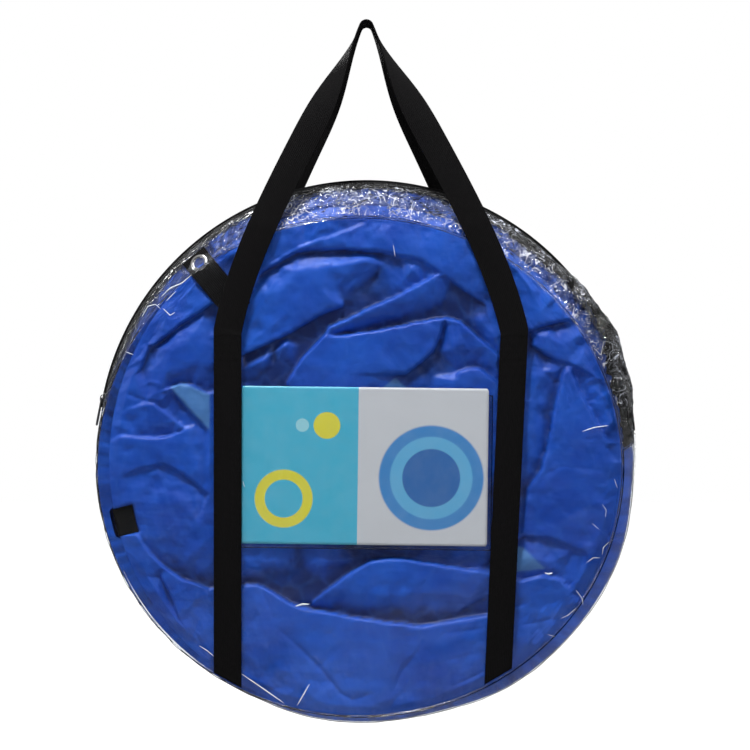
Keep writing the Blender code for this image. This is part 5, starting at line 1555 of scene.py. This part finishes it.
class TUNNEL_OT_panels(bpy.types.Operator):
    """Makes the clear front and back panels, their seam beads and the card pocket"""

    bl_idname = "tunnel.panels"
    bl_label = "Clear Panels"

    def execute(self, context):
        panel_wave = context.scene.tunnel_sizes.panel_wave
        x, z, share = disc(161, 1.0)
        x = FRONT_SHIFT_X + x * (FRONT_HALF_WIDTH - 0.0002)
        z = MIDDLE_Z - FRONT_SAG + z * (FRONT_HALF_HEIGHT - 0.0002)
        # The panel lies flat under the straps and over the card, and waves where it is free
        straps = np.maximum(*(bump(x, middle, 0.030) for middle in (-0.1243, 0.125)))
        card = np.clip(2.2 * bump(x, -0.002, 0.135) * bump(z, -0.400, 0.100), 0, 1)
        free = (1 - np.clip(1.6 * straps, 0, 1)) * (1 - card) * smooth((1 - share) / 0.06)
        wave = ripple(x, z, 0.085, 41) + 0.12 * ripple(x, z, 0.024, 42)
        first, step = cells(x / 0.050, z / 0.042, 43)
        relief = panel_wave * (0.55 * wave + 0.9 * (0.5 - first) * smooth(step / 0.5))
        crown = 0.0010 * smooth((1 - share**2) / 0.8)
        y = FRONT_Y + VINYL / 2 - (np.clip(relief, -0.0004, 0.0018) + crown) * free
        for start, end, height in STRAY_RIDGES:
            along, away, whole = beside(x - TUNNEL_X, z - TUNNEL_Z, picture(*start), picture(*end))
            y = y - height * np.exp(-np.abs(away) / 0.0016) * bump(along, whole / 2, whole / 2 + 0.003)
        vinyl = vinyl_material("Clear Vinyl Panel", 16.0, 7.0, 0.25, 0.0016, 0.035)
        front = clear_piece("clear_front_panel", np.stack([x, y, z], -1), vinyl, VINYL, "bag_front_panel")
        x, z, share = disc(121, REAR_RADIUS - 0.0002)
        strap = np.maximum(*(bump(x, at, 0.028) for at, _ in REAR_STRAPS))
        free = (1 - np.clip(1.6 * strap, 0, 1)) * smooth((1 - share) / 0.05)
        wave = 0.9 * ripple(x, z, 0.070, 44) + 0.35 * ripple(x, z, 0.024, 45)
        y = BACK_Y - VINYL / 2 + np.clip(panel_wave * wave, -0.0007, 0.0022) * free
        vinyl = vinyl_material("Clear Vinyl Back", 21.0, 9.0, 0.25, 0.0030, 0.06)
        points = np.stack([x, y, z + MIDDLE_Z], -1)
        back = clear_piece("clear_back_panel", points, vinyl, VINYL, "bag_back_panel")
        self.stray_glint_strokes()
        self.beads()
        self.pocket()
        return {"FINISHED"}

    def stray_glint_strokes(self):
        """Painted glints on the front panel: short white flat ribbons along polylines, thin at both ends."""
        rows = []
        fall = np.sqrt(np.clip(1 - np.linspace(-1, 1, 12) ** 2, 0.03, 1))[:, None]
        for corners, width in STRAY_GLINT_STROKES:
            places = follow(np.array([picture(*corner) for corner in corners]), 12) + (TUNNEL_X, TUNNEL_Z)
            path = np.insert(places, 1, FRONT_Y - 0.0010, axis=1)
            side = np.cross(unit(np.gradient(path, axis=0)), [0.0, 1.0, 0.0])
            points = sweep(path, side * width / 2 * fall, np.tile([0, 0.00025, 0], (12, 1)), circle(1.0, 4))
            rows.append(grid_mesh("crease", points, np.zeros((12, 5, 2)), wrap_columns=True))
        glossy = plastic_material("Creased Vinyl", (0.80, 0.86, 0.93), 0.2)
        piece("panel_creases", joined("panel_creases", rows), glossy, "bag", ())

    def beads(self):
        """Seam beads: thin rounded welts that follow the front seam, and the rear seam below the zip."""
        vinyl = vinyl_material("Clear Vinyl Bead", 300.0, 60.0, 0.3, 0.0006, 0.12)
        angle = np.linspace(0, TURN, 360, endpoint=False)
        uneven = 1 + 0.0012 * np.sin(angle * 37) + 0.0008 * np.sin(angle * 61)
        x = FRONT_SHIFT_X + (FRONT_HALF_WIDTH + 0.0002) * np.cos(angle) * uneven
        z = MIDDLE_Z - FRONT_SAG + (FRONT_HALF_HEIGHT + 0.0002) * np.sin(angle) * uneven
        front = np.stack([x, np.full(360, FRONT_Y + 0.0001), z], -1)
        rear = rear_seam(ZIP_LEFT + 0.01, TURN + ZIP_RIGHT - 0.01, 300)
        for side, path, radius, closed in (("front", front, 0.0006, True), ("rear", rear, 0.0009, False)):
            name = f"{side}_seam_bead"
            piece(name, tube_mesh(name, path, radius, closed=closed), vinyl, "bag", ())

    def pocket(self):
        """The card pocket: a thin clear sheet behind the card with a raised weld along its sides and foot."""
        low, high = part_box("card_pocket")
        u, v = np.linspace(-1, 1, 90)[:, None], np.linspace(-1, 1, 60)[None, :]
        half_x = CARD_WIDTH / 2 + 0.004 - 0.0002
        bottom, top = -CARD_HEIGHT / 2 - 0.004 + 0.0002, CARD_HEIGHT / 2 - 0.006
        x, z = half_x * u, bottom + (top - bottom) * (v + 1) / 2
        edge = np.maximum(np.abs(u) ** 40, np.clip(-v, 0, 1) ** 40)
        y = (low[1] + high[1]) / 2 - 0.00008 * edge + 0.00004 * ripple(x, z, 0.02, 51)
        vinyl = vinyl_material("Clear Vinyl Pocket", 40.0, 15.0, 0.2, 0.0010, 0.05)
        thing = clear_piece("clear_pocket", on_card(x, y, z), vinyl, 0.00026, "card_pocket")


class TUNNEL_OT_gussets(bpy.types.Operator):
    """Makes the clear side bands"""

    bl_idname = "tunnel.gussets"
    bl_label = "Clear Gussets"

    def execute(self, context):
        angle = np.linspace(ZIP_RIGHT - 0.01, ZIP_LEFT + 0.012, 860)[:, None]
        # The strip ends at the zip's tape, and covers the crumpled flap at the right
        end = 0.0004 + 0.0058 * smooth((math.radians(68) - angle) / 0.2)
        y = FRONT_Y + 0.0004 + (end - FRONT_Y - 0.0004) * np.linspace(0, 1, 52)[None, :]
        skin = section(angle, y)
        relief = gusset_crinkle(angle, y) * context.scene.tunnel_sizes.crinkle + band_offset(angle, y)
        normal = outward(skin)
        points = skin + normal * (relief + 0.0011 * smooth((y + 0.004) / 0.006))[..., None]
        # creased: how strongly the band's bump crinkles, and how much of it the painted glint lines cover
        angles = [0, 12, 28, 60, 100, 115, 130, 150, 171]
        creased = np.interp(np.degrees(angle), angles, [0.5, 0.7, 1, 1, 1, 0.8, 0.35, 0.15, 0.1])
        creased = np.broadcast_to(creased, y.shape)
        # Painted glints: a second sheet just outside the band carries the white glint lines
        mesh = grid_mesh("band_creases", points[:, 1:-1] + normal[:, 1:-1] * 0.0005)
        mark_points(mesh, "creased", creased[:, 1:-1])
        piece("band_creases", mesh, crease_glint_material(), "bag", ())
        vinyl = vinyl_material("Clear Vinyl Crinkled", 190.0, 60.0, 1.0, 0.0026, 0.03, "creased")
        thing = clear_piece("clear_upper_band", points, vinyl, VINYL * 0.8, "bag_upper_gusset")
        mark_points(thing.data, "creased", creased)
        angle = np.linspace(ZIP_LEFT + 0.002, TURN + ZIP_RIGHT - 0.002, 480)[:, None]
        y = np.linspace(FRONT_Y + 0.0004, BACK_Y - 0.0004, 46)[None, :]
        skin = section(angle, y)
        run = angle * SIDE_RADIUS
        held = window(y, FRONT_Y, BACK_Y, 0.004) * window(angle, ZIP_LEFT, TURN + ZIP_RIGHT, 0.05)
        foot = np.clip((turned_from(angle, 270) - math.radians(45)) / -0.3, 0, 1)
        dents = 0.0010 * (0.5 - cells(run / 0.030, y / 0.020, 62)[0])
        relief = 0.0007 * ripple(run, y * 0.6, 0.035, 61) + dents
        relief = np.clip(relief, -0.0002, 0.0005 - 0.0002 * foot) * held + band_offset(angle, y)
        vinyl = vinyl_material("Clear Vinyl Band", 50.0, 20.0, 0.35, 0.0014, 0.045)
        points = skin + outward(skin) * relief[..., None]
        thing = clear_piece("clear_lower_band", points, vinyl, VINYL, "bag_lower_gusset")
        return {"FINISHED"}


def stitch_mesh(centre, across, out, width, tip):
    """Stitches as low bars of a diamond section, thin at their ends by the share tip: four rings of four
    points each, about centres of the shape bars, 4, 3, with a cap on each end."""
    size = width * np.array([tip, 1, 1, tip])[:, None, None]
    turned = circle(1.0, 4)
    round_about = out[..., None, :] * turned[:, 1:] + across[..., None, :] * turned[:, :1]
    points = centre[:, :, None] + size * round_about
    ring, column = np.arange(0, 12, 4)[:, None], np.arange(4)[None, :]
    following = (column + 1) % 4
    quads = np.stack([ring + column, ring + following, ring + 4 + following, ring + 4 + column], -1)
    quads = quads.reshape(-1, 4)
    base = (np.arange(len(points)) * 16)[:, None, None]
    ends = [[3, 2, 1, 0], [12, 13, 14, 15]]
    faces = np.concatenate([(base + part).reshape(-1, 4) for part in (quads, ends)])
    flat = points.reshape(-1, 3)
    a, b, c, d = (flat[faces[:, k]] for k in range(4))
    middle = points.mean(axis=(1, 2))[faces[:, 0] // 16]
    inward = ((np.cross(b - a, c - a) + np.cross(c - a, d - a)) * ((a + c) / 2 - middle)).sum(-1) < 0
    faces[inward] = faces[inward][:, ::-1]
    mesh = bpy.data.meshes.new("stitches")
    mesh.from_pydata(flat.tolist(), [], faces.tolist())
    mesh.shade_smooth()
    mesh.uv_layers.new(name="UVMap")
    return mesh


def blunt_circle(sides, *powers):
    """x and y of a circle pressed towards a square: the signed powers of its cosine and sine."""
    return [np.sign(part) * np.abs(part) ** power for part, power in zip(circle(1.0, sides).T, powers)]


class TUNNEL_OT_zip(bpy.types.Operator):
    """Makes the zip: tapes, teeth, stops, slider and pull"""

    bl_idname = "tunnel.zip"
    bl_label = "Zip"

    def execute(self, context):
        sizes = context.scene.tunnel_sizes
        self.tapes(sizes)
        self.teeth(sizes.tooth_pitch)
        metal = metal_material("Zip Metal", "zip_metal", 0.30)
        # End stops: a folded metal clamp over both rows of teeth
        lead = (0.0012 + GAP) / MID_RADIUS
        for name, angle in (("left", ZIP_LEFT - lead), ("right", ZIP_RIGHT + lead)):
            outline = rounded_profile(0.0024, 0.0059, 0.0007, 5)
            mesh = plate_mesh(f"zip_end_{name}", outline, -0.0015, 0.0015, 0.0006, zip_matrix(angle), 5)
            piece(f"zip_end_{name}", mesh, metal, "bag", [f"zip_stop_{name}"])
        self.slider(metal)
        return {"FINISHED"}

    def tapes(self, sizes):
        """Tapes: strips of the bag's side from the teeth to the seams. The front one runs on under the clear
        strip by tape_reach, follows its relief, and is crumpled on its flap."""
        tape = webbing_material("Zip Tape", "zip_tape", 900.0, 1400.0, 0.00012, 0.66)
        angle = np.linspace(ZIP_RIGHT, ZIP_LEFT, 700)[:, None]
        run = angle * SIDE_RADIUS
        inner, rear = 0.0094, 0.0156
        start = -tape_reach(angle)
        y = start + (inner - start) * np.linspace(0, 1, 44)[None, :]
        under = np.clip(gusset_crinkle(angle, y) * sizes.crinkle, -0.0010, 0.0026)
        under = 0.8 * under * smooth((0.006 - y) / 0.006)
        flap = smooth((math.radians(66) - angle) / 0.3) * smooth((0.004 - y) / 0.006)
        crumple = (cells(run / 0.0085, y / 0.007, 71)[0] - 0.5) * 0.0016
        waves = 0.00025 * ripple(run, y, 0.018, 72) * smooth((inner - y) / 0.003)
        low = -0.0006 * smooth((0.004 - y) / 0.005)
        offset = under + flap * np.minimum(crumple, 0.0004) + waves + low + band_offset(angle, y)
        self.tape("front", angle, y, offset, tape, 0.00045)
        y = np.linspace(rear, BACK_Y - 0.0005, 16)[None, :]
        offset = 0.0002 * ripple(run, y, 0.020, 73) * window(y, rear, BACK_Y, 0.003)
        self.tape("rear", angle, y, offset, tape, 0.00055)
        binding = tube_mesh("rear_binding", rear_seam(ZIP_RIGHT, ZIP_LEFT, 360), 0.0010)
        piece("rear_binding", binding, tape, "bag", ())
        pitch = sizes.stitch_pitch * 0.6
        whole = (ZIP_LEFT - ZIP_RIGHT) * STITCH_RADIUS
        at = np.arange(0.004, whole - 0.004, pitch)[:, None] + np.array([0.0, 0.3, 0.7, 1.0]) * pitch * 0.72
        rows = []
        for depth, outset in ((0.0068, 0.0012), (0.0178, 0.00035), (0.0226, 0.00035)):
            base = section(at / STITCH_RADIUS + ZIP_RIGHT, depth)
            away = unit(spoke(base))
            centre = base + away * (outset + np.array([-0.0001, 0.0001, 0.0001, -0.0001]))[:, None]
            side = np.broadcast_to([0.0, 1.0, 0.0], base.shape)
            rows.append(stitch_mesh(centre, side, away, 0.00022, 0.15))
        piece("zip_stitching", joined("zip_stitching", rows), thread_material(), "bag", ())

    def tape(self, side, angle, y, offset, material, thickness):
        """One tape, which stands off the bag's side by an offset and has a UV map in metres."""
        skin = section(angle, y)
        uv = np.stack(np.broadcast_arrays(y, angle * SIDE_RADIUS), -1)
        mesh = grid_mesh(f"{side}_zip_tape", skin + outward(skin) * offset[..., None], uv)
        thicken(piece(f"{side}_zip_tape", mesh, material, "bag", [f"zip_tape_{side}"]), thickness)

    def teeth(self, pitch):
        """Teeth: a nylon helix on each side of the middle line, half a pitch apart, with an oval turn."""
        coil = plastic_material("Zip Teeth", tuple(1.6 * part for part in chosen("zip_tape")), 0.32)
        margin = 0.0036 / MID_RADIUS
        begin, end = ZIP_RIGHT + margin, ZIP_LEFT - margin
        turns = int((end - begin) * TEETH_RADIUS / pitch)
        t = np.linspace(0, turns, turns * 9 + 1)
        for name, side, lead in (("front", -1, 0.0), ("rear", 1, 0.5)):
            phase = TURN * (t + lead)
            across, height = side * (0.00150 + 0.00142 * np.cos(phase)), 0.00080 * np.sin(phase)
            path = zip_points(begin + (end - begin) * t / turns, across, height)
            mesh = tube_mesh(f"{name}_teeth", path, 0.00030, 5)
            piece(f"{name}_teeth", mesh, coil, "bag", [f"zip_coil_{name}"])

    def slider(self, metal):
        """Slider: two waisted plates, turned-in sides, the bridge and an arched crown, and the pull with its
        eye and long slot."""
        slider = zip_matrix(SLIDER_ANGLE)

        def plate(outline, low, high, bevel, x=0, y=0, place=slider):
            """A plate at a place of the slider or of the pull."""
            return plate_mesh("plate", outline, low, high, bevel, place @ Matrix.Translation((x, y, 0)))

        half = 0.0048
        x, y = blunt_circle(96, 0.42, 0.42)
        y = 0.00425 * y * (1 - 0.10 * (1 - np.cos(x * math.pi)) * 0.5 * (x > 0))
        outline = np.stack([half * x, y], -1)
        parts = [plate(outline, low, low + 0.001, 0.00038) for low in (0.0015, -0.0025)]
        flange = rounded_profile(0.0090, 0.0009, 0.00035)
        for side in (-0.00372, 0.00372):
            for low, high in ((0.00066, 0.0020), (-0.0020, -0.00066)):
                parts.append(plate(flange, low, high, 0.0002, y=side))
        parts.append(plate(rounded_profile(0.0030, 0.0008, 0.0003), -0.0022, 0.0022, 0.0001, 0.0016 - half))
        swing = np.linspace(0, math.pi, 25)
        arch = np.stack([-0.0031 * np.cos(swing), np.zeros(25), 0.0022 + 0.00265 * np.sin(swing) ** 0.55], -1)
        across = np.tile([0.0, 1.0, 0.0], (25, 1))
        profile = rounded_profile(0.0016, 0.0008, 0.0003)
        body = sweep(arch, across, np.cross(unit(np.gradient(arch, axis=0)), across), profile)
        crown = grid_mesh("crown", body, sweep_uv(arch, profile), wrap_columns=True)
        parts.append(shift_mesh(crown, slider))
        piece("slider_body", joined("slider_body", parts), metal, "zip_slider", ["zip_slider"])
        pivot = slider @ Matrix.Translation((0, 0, 0.00355))
        half_length, half_width = 0.013, 0.0037
        x, y = blunt_circle(120, 0.36, 0.42)
        waist = 1 - 0.16 * np.exp(-((x + 0.25) / 0.28) ** 2) - 0.10 * np.clip(-x, 0, 1) ** 3
        outline = np.stack([-0.0006 + half_length + x * half_length, y * half_width * waist], -1)
        body = plate(outline, -0.0006, 0.0006, 0.0003, place=pivot)
        eye = plate(rounded_profile(0.0040, 0.0030, 0.0010, 6), -0.002, 0.002, 0.0001, 0.0026, place=pivot)
        slot = plate(rounded_profile(0.0128, 0.0030, 0.0014, 8), -0.002, 0.002, 0.0001, 0.0164, place=pivot)
        piece("pull_tab", cut(body, [eye, slot]), metal, "zip_pull", ["zip_pull"])


# Straps

def leg(foot_x, facing, leave_z, stations):
    """Middle line and width direction of one handle leg, from its sewn foot to the hook.

    The leg runs from its foot to the tangent point of the hook's circle, bowed outwards most at a third of
    its length. It lies on the panel up to leave_z, then leans to its half of the hook, and makes a quarter
    turn about its own line before the hook."""
    side = math.copysign(1, foot_x)
    reach = HOOK_RADIUS + WEBBING / 2
    centre, foot = np.array([0, -HOOK_RADIUS]), np.array([foot_x, SEWN_Z])
    away = foot - centre
    tangent = math.atan2(away[1], away[0]) + side * math.acos(reach / np.hypot(*away))
    top = centre + reach * np.array([math.cos(tangent), math.sin(tangent)])
    face_y = facing * (BACK_Y + GAP + WEBBING / 2)
    apex_y = facing * (WEBBING_WIDTH / 2 + GAP)
    share = np.linspace(0, 1, stations)
    x = foot[0] + (top[0] - foot[0]) * share + side * HANDLE_BOW * 27 / 4 * share * (1 - share) ** 2
    z = foot[1] + (top[1] - foot[1]) * share
    lean = np.clip((z - leave_z) / (top[1] - leave_z), 0, 1)
    y = face_y + (apex_y - face_y) * lean
    path = np.stack([x, y, z], 1)
    run = unit(np.gradient(path, axis=0))
    whole = np.hypot(*(top - foot))
    twist = smooth((share * whole - (whole - HANDLE_TWIST)) / HANDLE_TWIST) * math.pi / 2
    flat, outer = np.array([0, facing, 0]), np.array([math.cos(tangent), 0, math.sin(tangent)])
    normal = np.cos(twist)[:, None] * flat + np.sin(twist)[:, None] * outer
    return path, unit(np.cross(normal, run)), tangent


def foot_height(x, seam, inset=0.0):
    """Height of the panel's lower seam, drawn in by an inset, at x."""
    half_width, half_height, seam_x, seam_z = seam
    return MIDDLE_Z + seam_z - (half_height - inset) * np.sqrt(1 - ((x - seam_x) / (half_width - inset)) ** 2)


class TUNNEL_OT_straps(bpy.types.Operator):
    """Makes the two webbing loops, each one length from a sewn foot over the hook to the other foot"""

    bl_idname = "tunnel.straps"
    bl_label = "Straps and Handles"

    def execute(self, context):
        inward = HANDLE_DRIFT + WEBBING_WIDTH / 2
        reach = (abs(FRONT_STRAPS[0][0]) - inward) / FRONT_HALF_WIDTH
        leave = MIDDLE_Z - FRONT_SAG + FRONT_HALF_HEIGHT * math.sqrt(1 - reach**2)
        seam = (FRONT_HALF_WIDTH, FRONT_HALF_HEIGHT, FRONT_SHIFT_X, -FRONT_SAG)
        self.loop("front", -1, FRONT_STRAPS, leave, seam)
        reach = (REAR_STRAPS[1][0] - inward) / REAR_RADIUS
        leave = MIDDLE_Z + REAR_RADIUS * math.sqrt(1 - reach**2)
        self.loop("rear", 1, REAR_STRAPS, leave, (REAR_RADIUS, REAR_RADIUS, 0, 0))
        return {"FINISHED"}

    def loop(self, name, facing, straps, leave, seam):
        """One loop: the sewn run, the leg, the turn over the hook, the other leg and the other sewn run. Each
        foot is cut along the seam's curve, so each column of points starts at its own height there."""
        face_y = facing * (BACK_Y + GAP + WEBBING / 2)
        profile = rounded_profile(WEBBING_WIDTH, WEBBING, 0.0006)
        (left, left_width, left_angle), (right, right_width, right_angle) = (
            leg(top, facing, leave, 110) for top, _ in straps
        )
        angle = np.linspace(left_angle % TURN, right_angle % TURN, 26)[1:-1]
        apex_y = facing * (WEBBING_WIDTH / 2 + GAP)
        over = round_points(HOOK_RADIUS + WEBBING / 2, angle, apex_y, (0, -HOOK_RADIUS))
        free = np.concatenate([left, over, right[::-1]])
        width = np.concatenate([left_width, np.tile([0.0, 1.0, 0.0], (24, 1)), right_width[::-1]])
        # Neighbours' widths point the same way all along
        flips = np.sign((width[1:] * width[:-1]).sum(-1))
        width[1:] *= np.cumprod(np.where(flips == 0, 1, flips))[:, None]
        normal = unit(np.cross(unit(np.gradient(free, axis=0)), width))
        steps = lengths(free)
        sway = 0.00035 * np.sin(steps * 31 + facing) * window(steps, 0.02, steps[-1] - 0.02, 0.05)
        body = sweep(free + normal * sway[:, None], width, normal, profile)
        share = np.linspace(0, 1, 150)[:, None]

        def sewn(top_x, foot_x, across, out):
            """The sewn run from its foot up to the sewn line, in shares of each column's own height."""
            aside = across[0] * profile[:, 0]
            foot_z = foot_height(foot_x + aside, seam, 0.0015)
            x = foot_x + (top_x - foot_x) * share + aside
            z = foot_z + (SEWN_Z - foot_z) * share
            puckers = 0.00010 * np.sin(z * 900) * (np.abs(profile[:, 0]) > 0.009)
            return np.stack([x, face_y + out[1] * profile[:, 1] + puckers, z], -1)

        first, last = (sewn(*straps[end], width[end], normal[end]) for end in (0, -1))
        points = np.concatenate([first[:-1], body, last[::-1][1:]])
        mesh = grid_mesh(f"{name}_webbing", points, sweep_uv(points.mean(axis=1), profile), wrap_columns=True)
        nodes = [f"{name}_handle", f"strap_{name}_left", f"strap_{name}_right"]
        thing = piece(f"{name}_webbing", mesh, webbing_material(), None, nodes)
        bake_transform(thing)
        self.stitching(name, facing, straps, seam, face_y)

    def stitching(self, name, facing, straps, seam, face_y):
        """Two rows of stitches down each sewn run, and a box with a cross just below the sewn line."""
        pitch = bpy.context.scene.tunnel_sizes.stitch_pitch
        high = SEWN_Z - 0.003
        ends = []
        for top_x, foot_x in straps:
            low = foot_height(seam[2] + abs(foot_x - seam[2]) + 0.012, seam) + 0.004

            def line(shift, height, shift_step, height_step, share):
                """Places on the strap: shares of a step from a shift across it and a height."""
                z = height + height_step * share
                x = top_x + (foot_x - top_x) * (high - z) / (high - low) + shift + shift_step * share
                return np.stack([x, z], -1)

            row = np.arange(low, high, pitch)
            for shift in (-0.0108, 0.0108):
                ends.append([line(shift, row + more, 0, 0, 0) for more in (0, pitch * 0.68)])
            foot, half = high - 0.022, 0.009
            corners = [(-half, foot), (half, high), (-half, high), (half, foot), (-half, foot)]
            for start, end in zip(corners, corners[1:]):
                step = np.subtract(end, start)
                count = max(2, int(math.hypot(*step) / (pitch * 0.7)))
                share = np.arange(count) / count
                ends.append([line(*start, *step, share + more) for more in (0, 0.7 / count)])
        start, end = (np.concatenate(side) for side in zip(*ends))
        step = np.insert(end - start, 1, 0.0, axis=1)[:, None]
        share = np.array([0.0, 0.3, 0.7, 1.0])[:, None]
        rise = WEBBING / 2 + np.array([-0.0001, 0.00012, 0.00012, -0.0001])[:, None]
        centre = np.insert(start, 1, face_y, axis=1)[:, None] + step * share + rise * [0, facing, 0]
        across = unit(np.cross(step, [0.0, -1.0, 0.0]))
        mesh = stitch_mesh(centre, across, np.array([[[0, facing, 0]]]), 0.00026, 0.2)
        piece(f"{name}_strap_stitches", mesh, thread_material(), "bag", ())


class TUNNEL_OT_card(bpy.types.Operator):
    """Makes the insert card"""

    bl_idname = "tunnel.card"
    bl_label = "Insert Card"

    def execute(self, context):
        """Card: a thin plate with rounded corners on a grid, so that its print has a UV map in metres."""
        low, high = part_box("insert_card")
        half_x, half_z = CARD_WIDTH / 2 - 0.0001, CARD_HEIGHT / 2 - 0.0001
        line_x, line_z = np.linspace(-1, 1, 81)[:, None], np.linspace(-1, 1, 61)[None, :]
        corner = np.clip((np.abs(line_z) - 0.98) / 0.02, 0, 1)
        round_x = 1 - (1 - np.sqrt(1 - corner**2)) * 0.012
        x, z = np.broadcast_arrays(half_x * line_x * round_x, half_z * line_z)
        y = (low[1] + high[1]) / 2 + 0.00003 * ripple(x, z, 0.08, 81)
        mesh = grid_mesh("printed_card", on_card(x, y, z), np.stack([x, z], -1))
        thing = piece("printed_card", mesh, card_material(), "insert_card", ["insert_card"])
        thicken(thing, 0.0004)
        return {"FINISHED"}


class TUNNEL_PT_panel(bpy.types.Panel):
    """Lists the sizes, the colours and the pieces"""

    bl_idname = "TUNNEL_PT_panel"
    bl_label = "Pet Tunnel"
    bl_space_type = "VIEW_3D"
    bl_region_type = "UI"
    bl_category = "Pet Tunnel"

    def draw(self, context):
        layout = self.layout
        for group in (context.scene.tunnel_sizes, context.scene.tunnel_colours):
            box = layout.box()
            for key in group.__annotations__:
                box.prop(group, key)
        for operator in OPERATORS:
            layout.operator(operator.bl_idname)


OPERATORS = (
    TUNNEL_OT_stage,
    TUNNEL_OT_coils,
    TUNNEL_OT_front_cloth,
    TUNNEL_OT_rear_cloth,
    TUNNEL_OT_tabs,
    TUNNEL_OT_card,
    TUNNEL_OT_panels,
    TUNNEL_OT_gussets,
    TUNNEL_OT_zip,
    TUNNEL_OT_straps,
)
CLASSES = (TunnelSizes, TunnelColours, *OPERATORS, TUNNEL_PT_panel)


def register():
    """Adds the classes and the two property groups."""
    for cls in CLASSES:
        bpy.utils.register_class(cls)
    bpy.types.Scene.tunnel_sizes = bpy.props.PointerProperty(type=TunnelSizes)
    bpy.types.Scene.tunnel_colours = bpy.props.PointerProperty(type=TunnelColours)


def unregister():
    """Takes the classes and the property groups away."""
    del bpy.types.Scene.tunnel_sizes
    del bpy.types.Scene.tunnel_colours
    for cls in reversed(CLASSES):
        bpy.utils.unregister_class(cls)


def main():
    """Runs every step in order."""
    register()
    for operator in OPERATORS:
        section_name, call = operator.bl_idname.split(".")
        getattr(getattr(bpy.ops, section_name), call)()


if __name__ == "__main__":
    main()
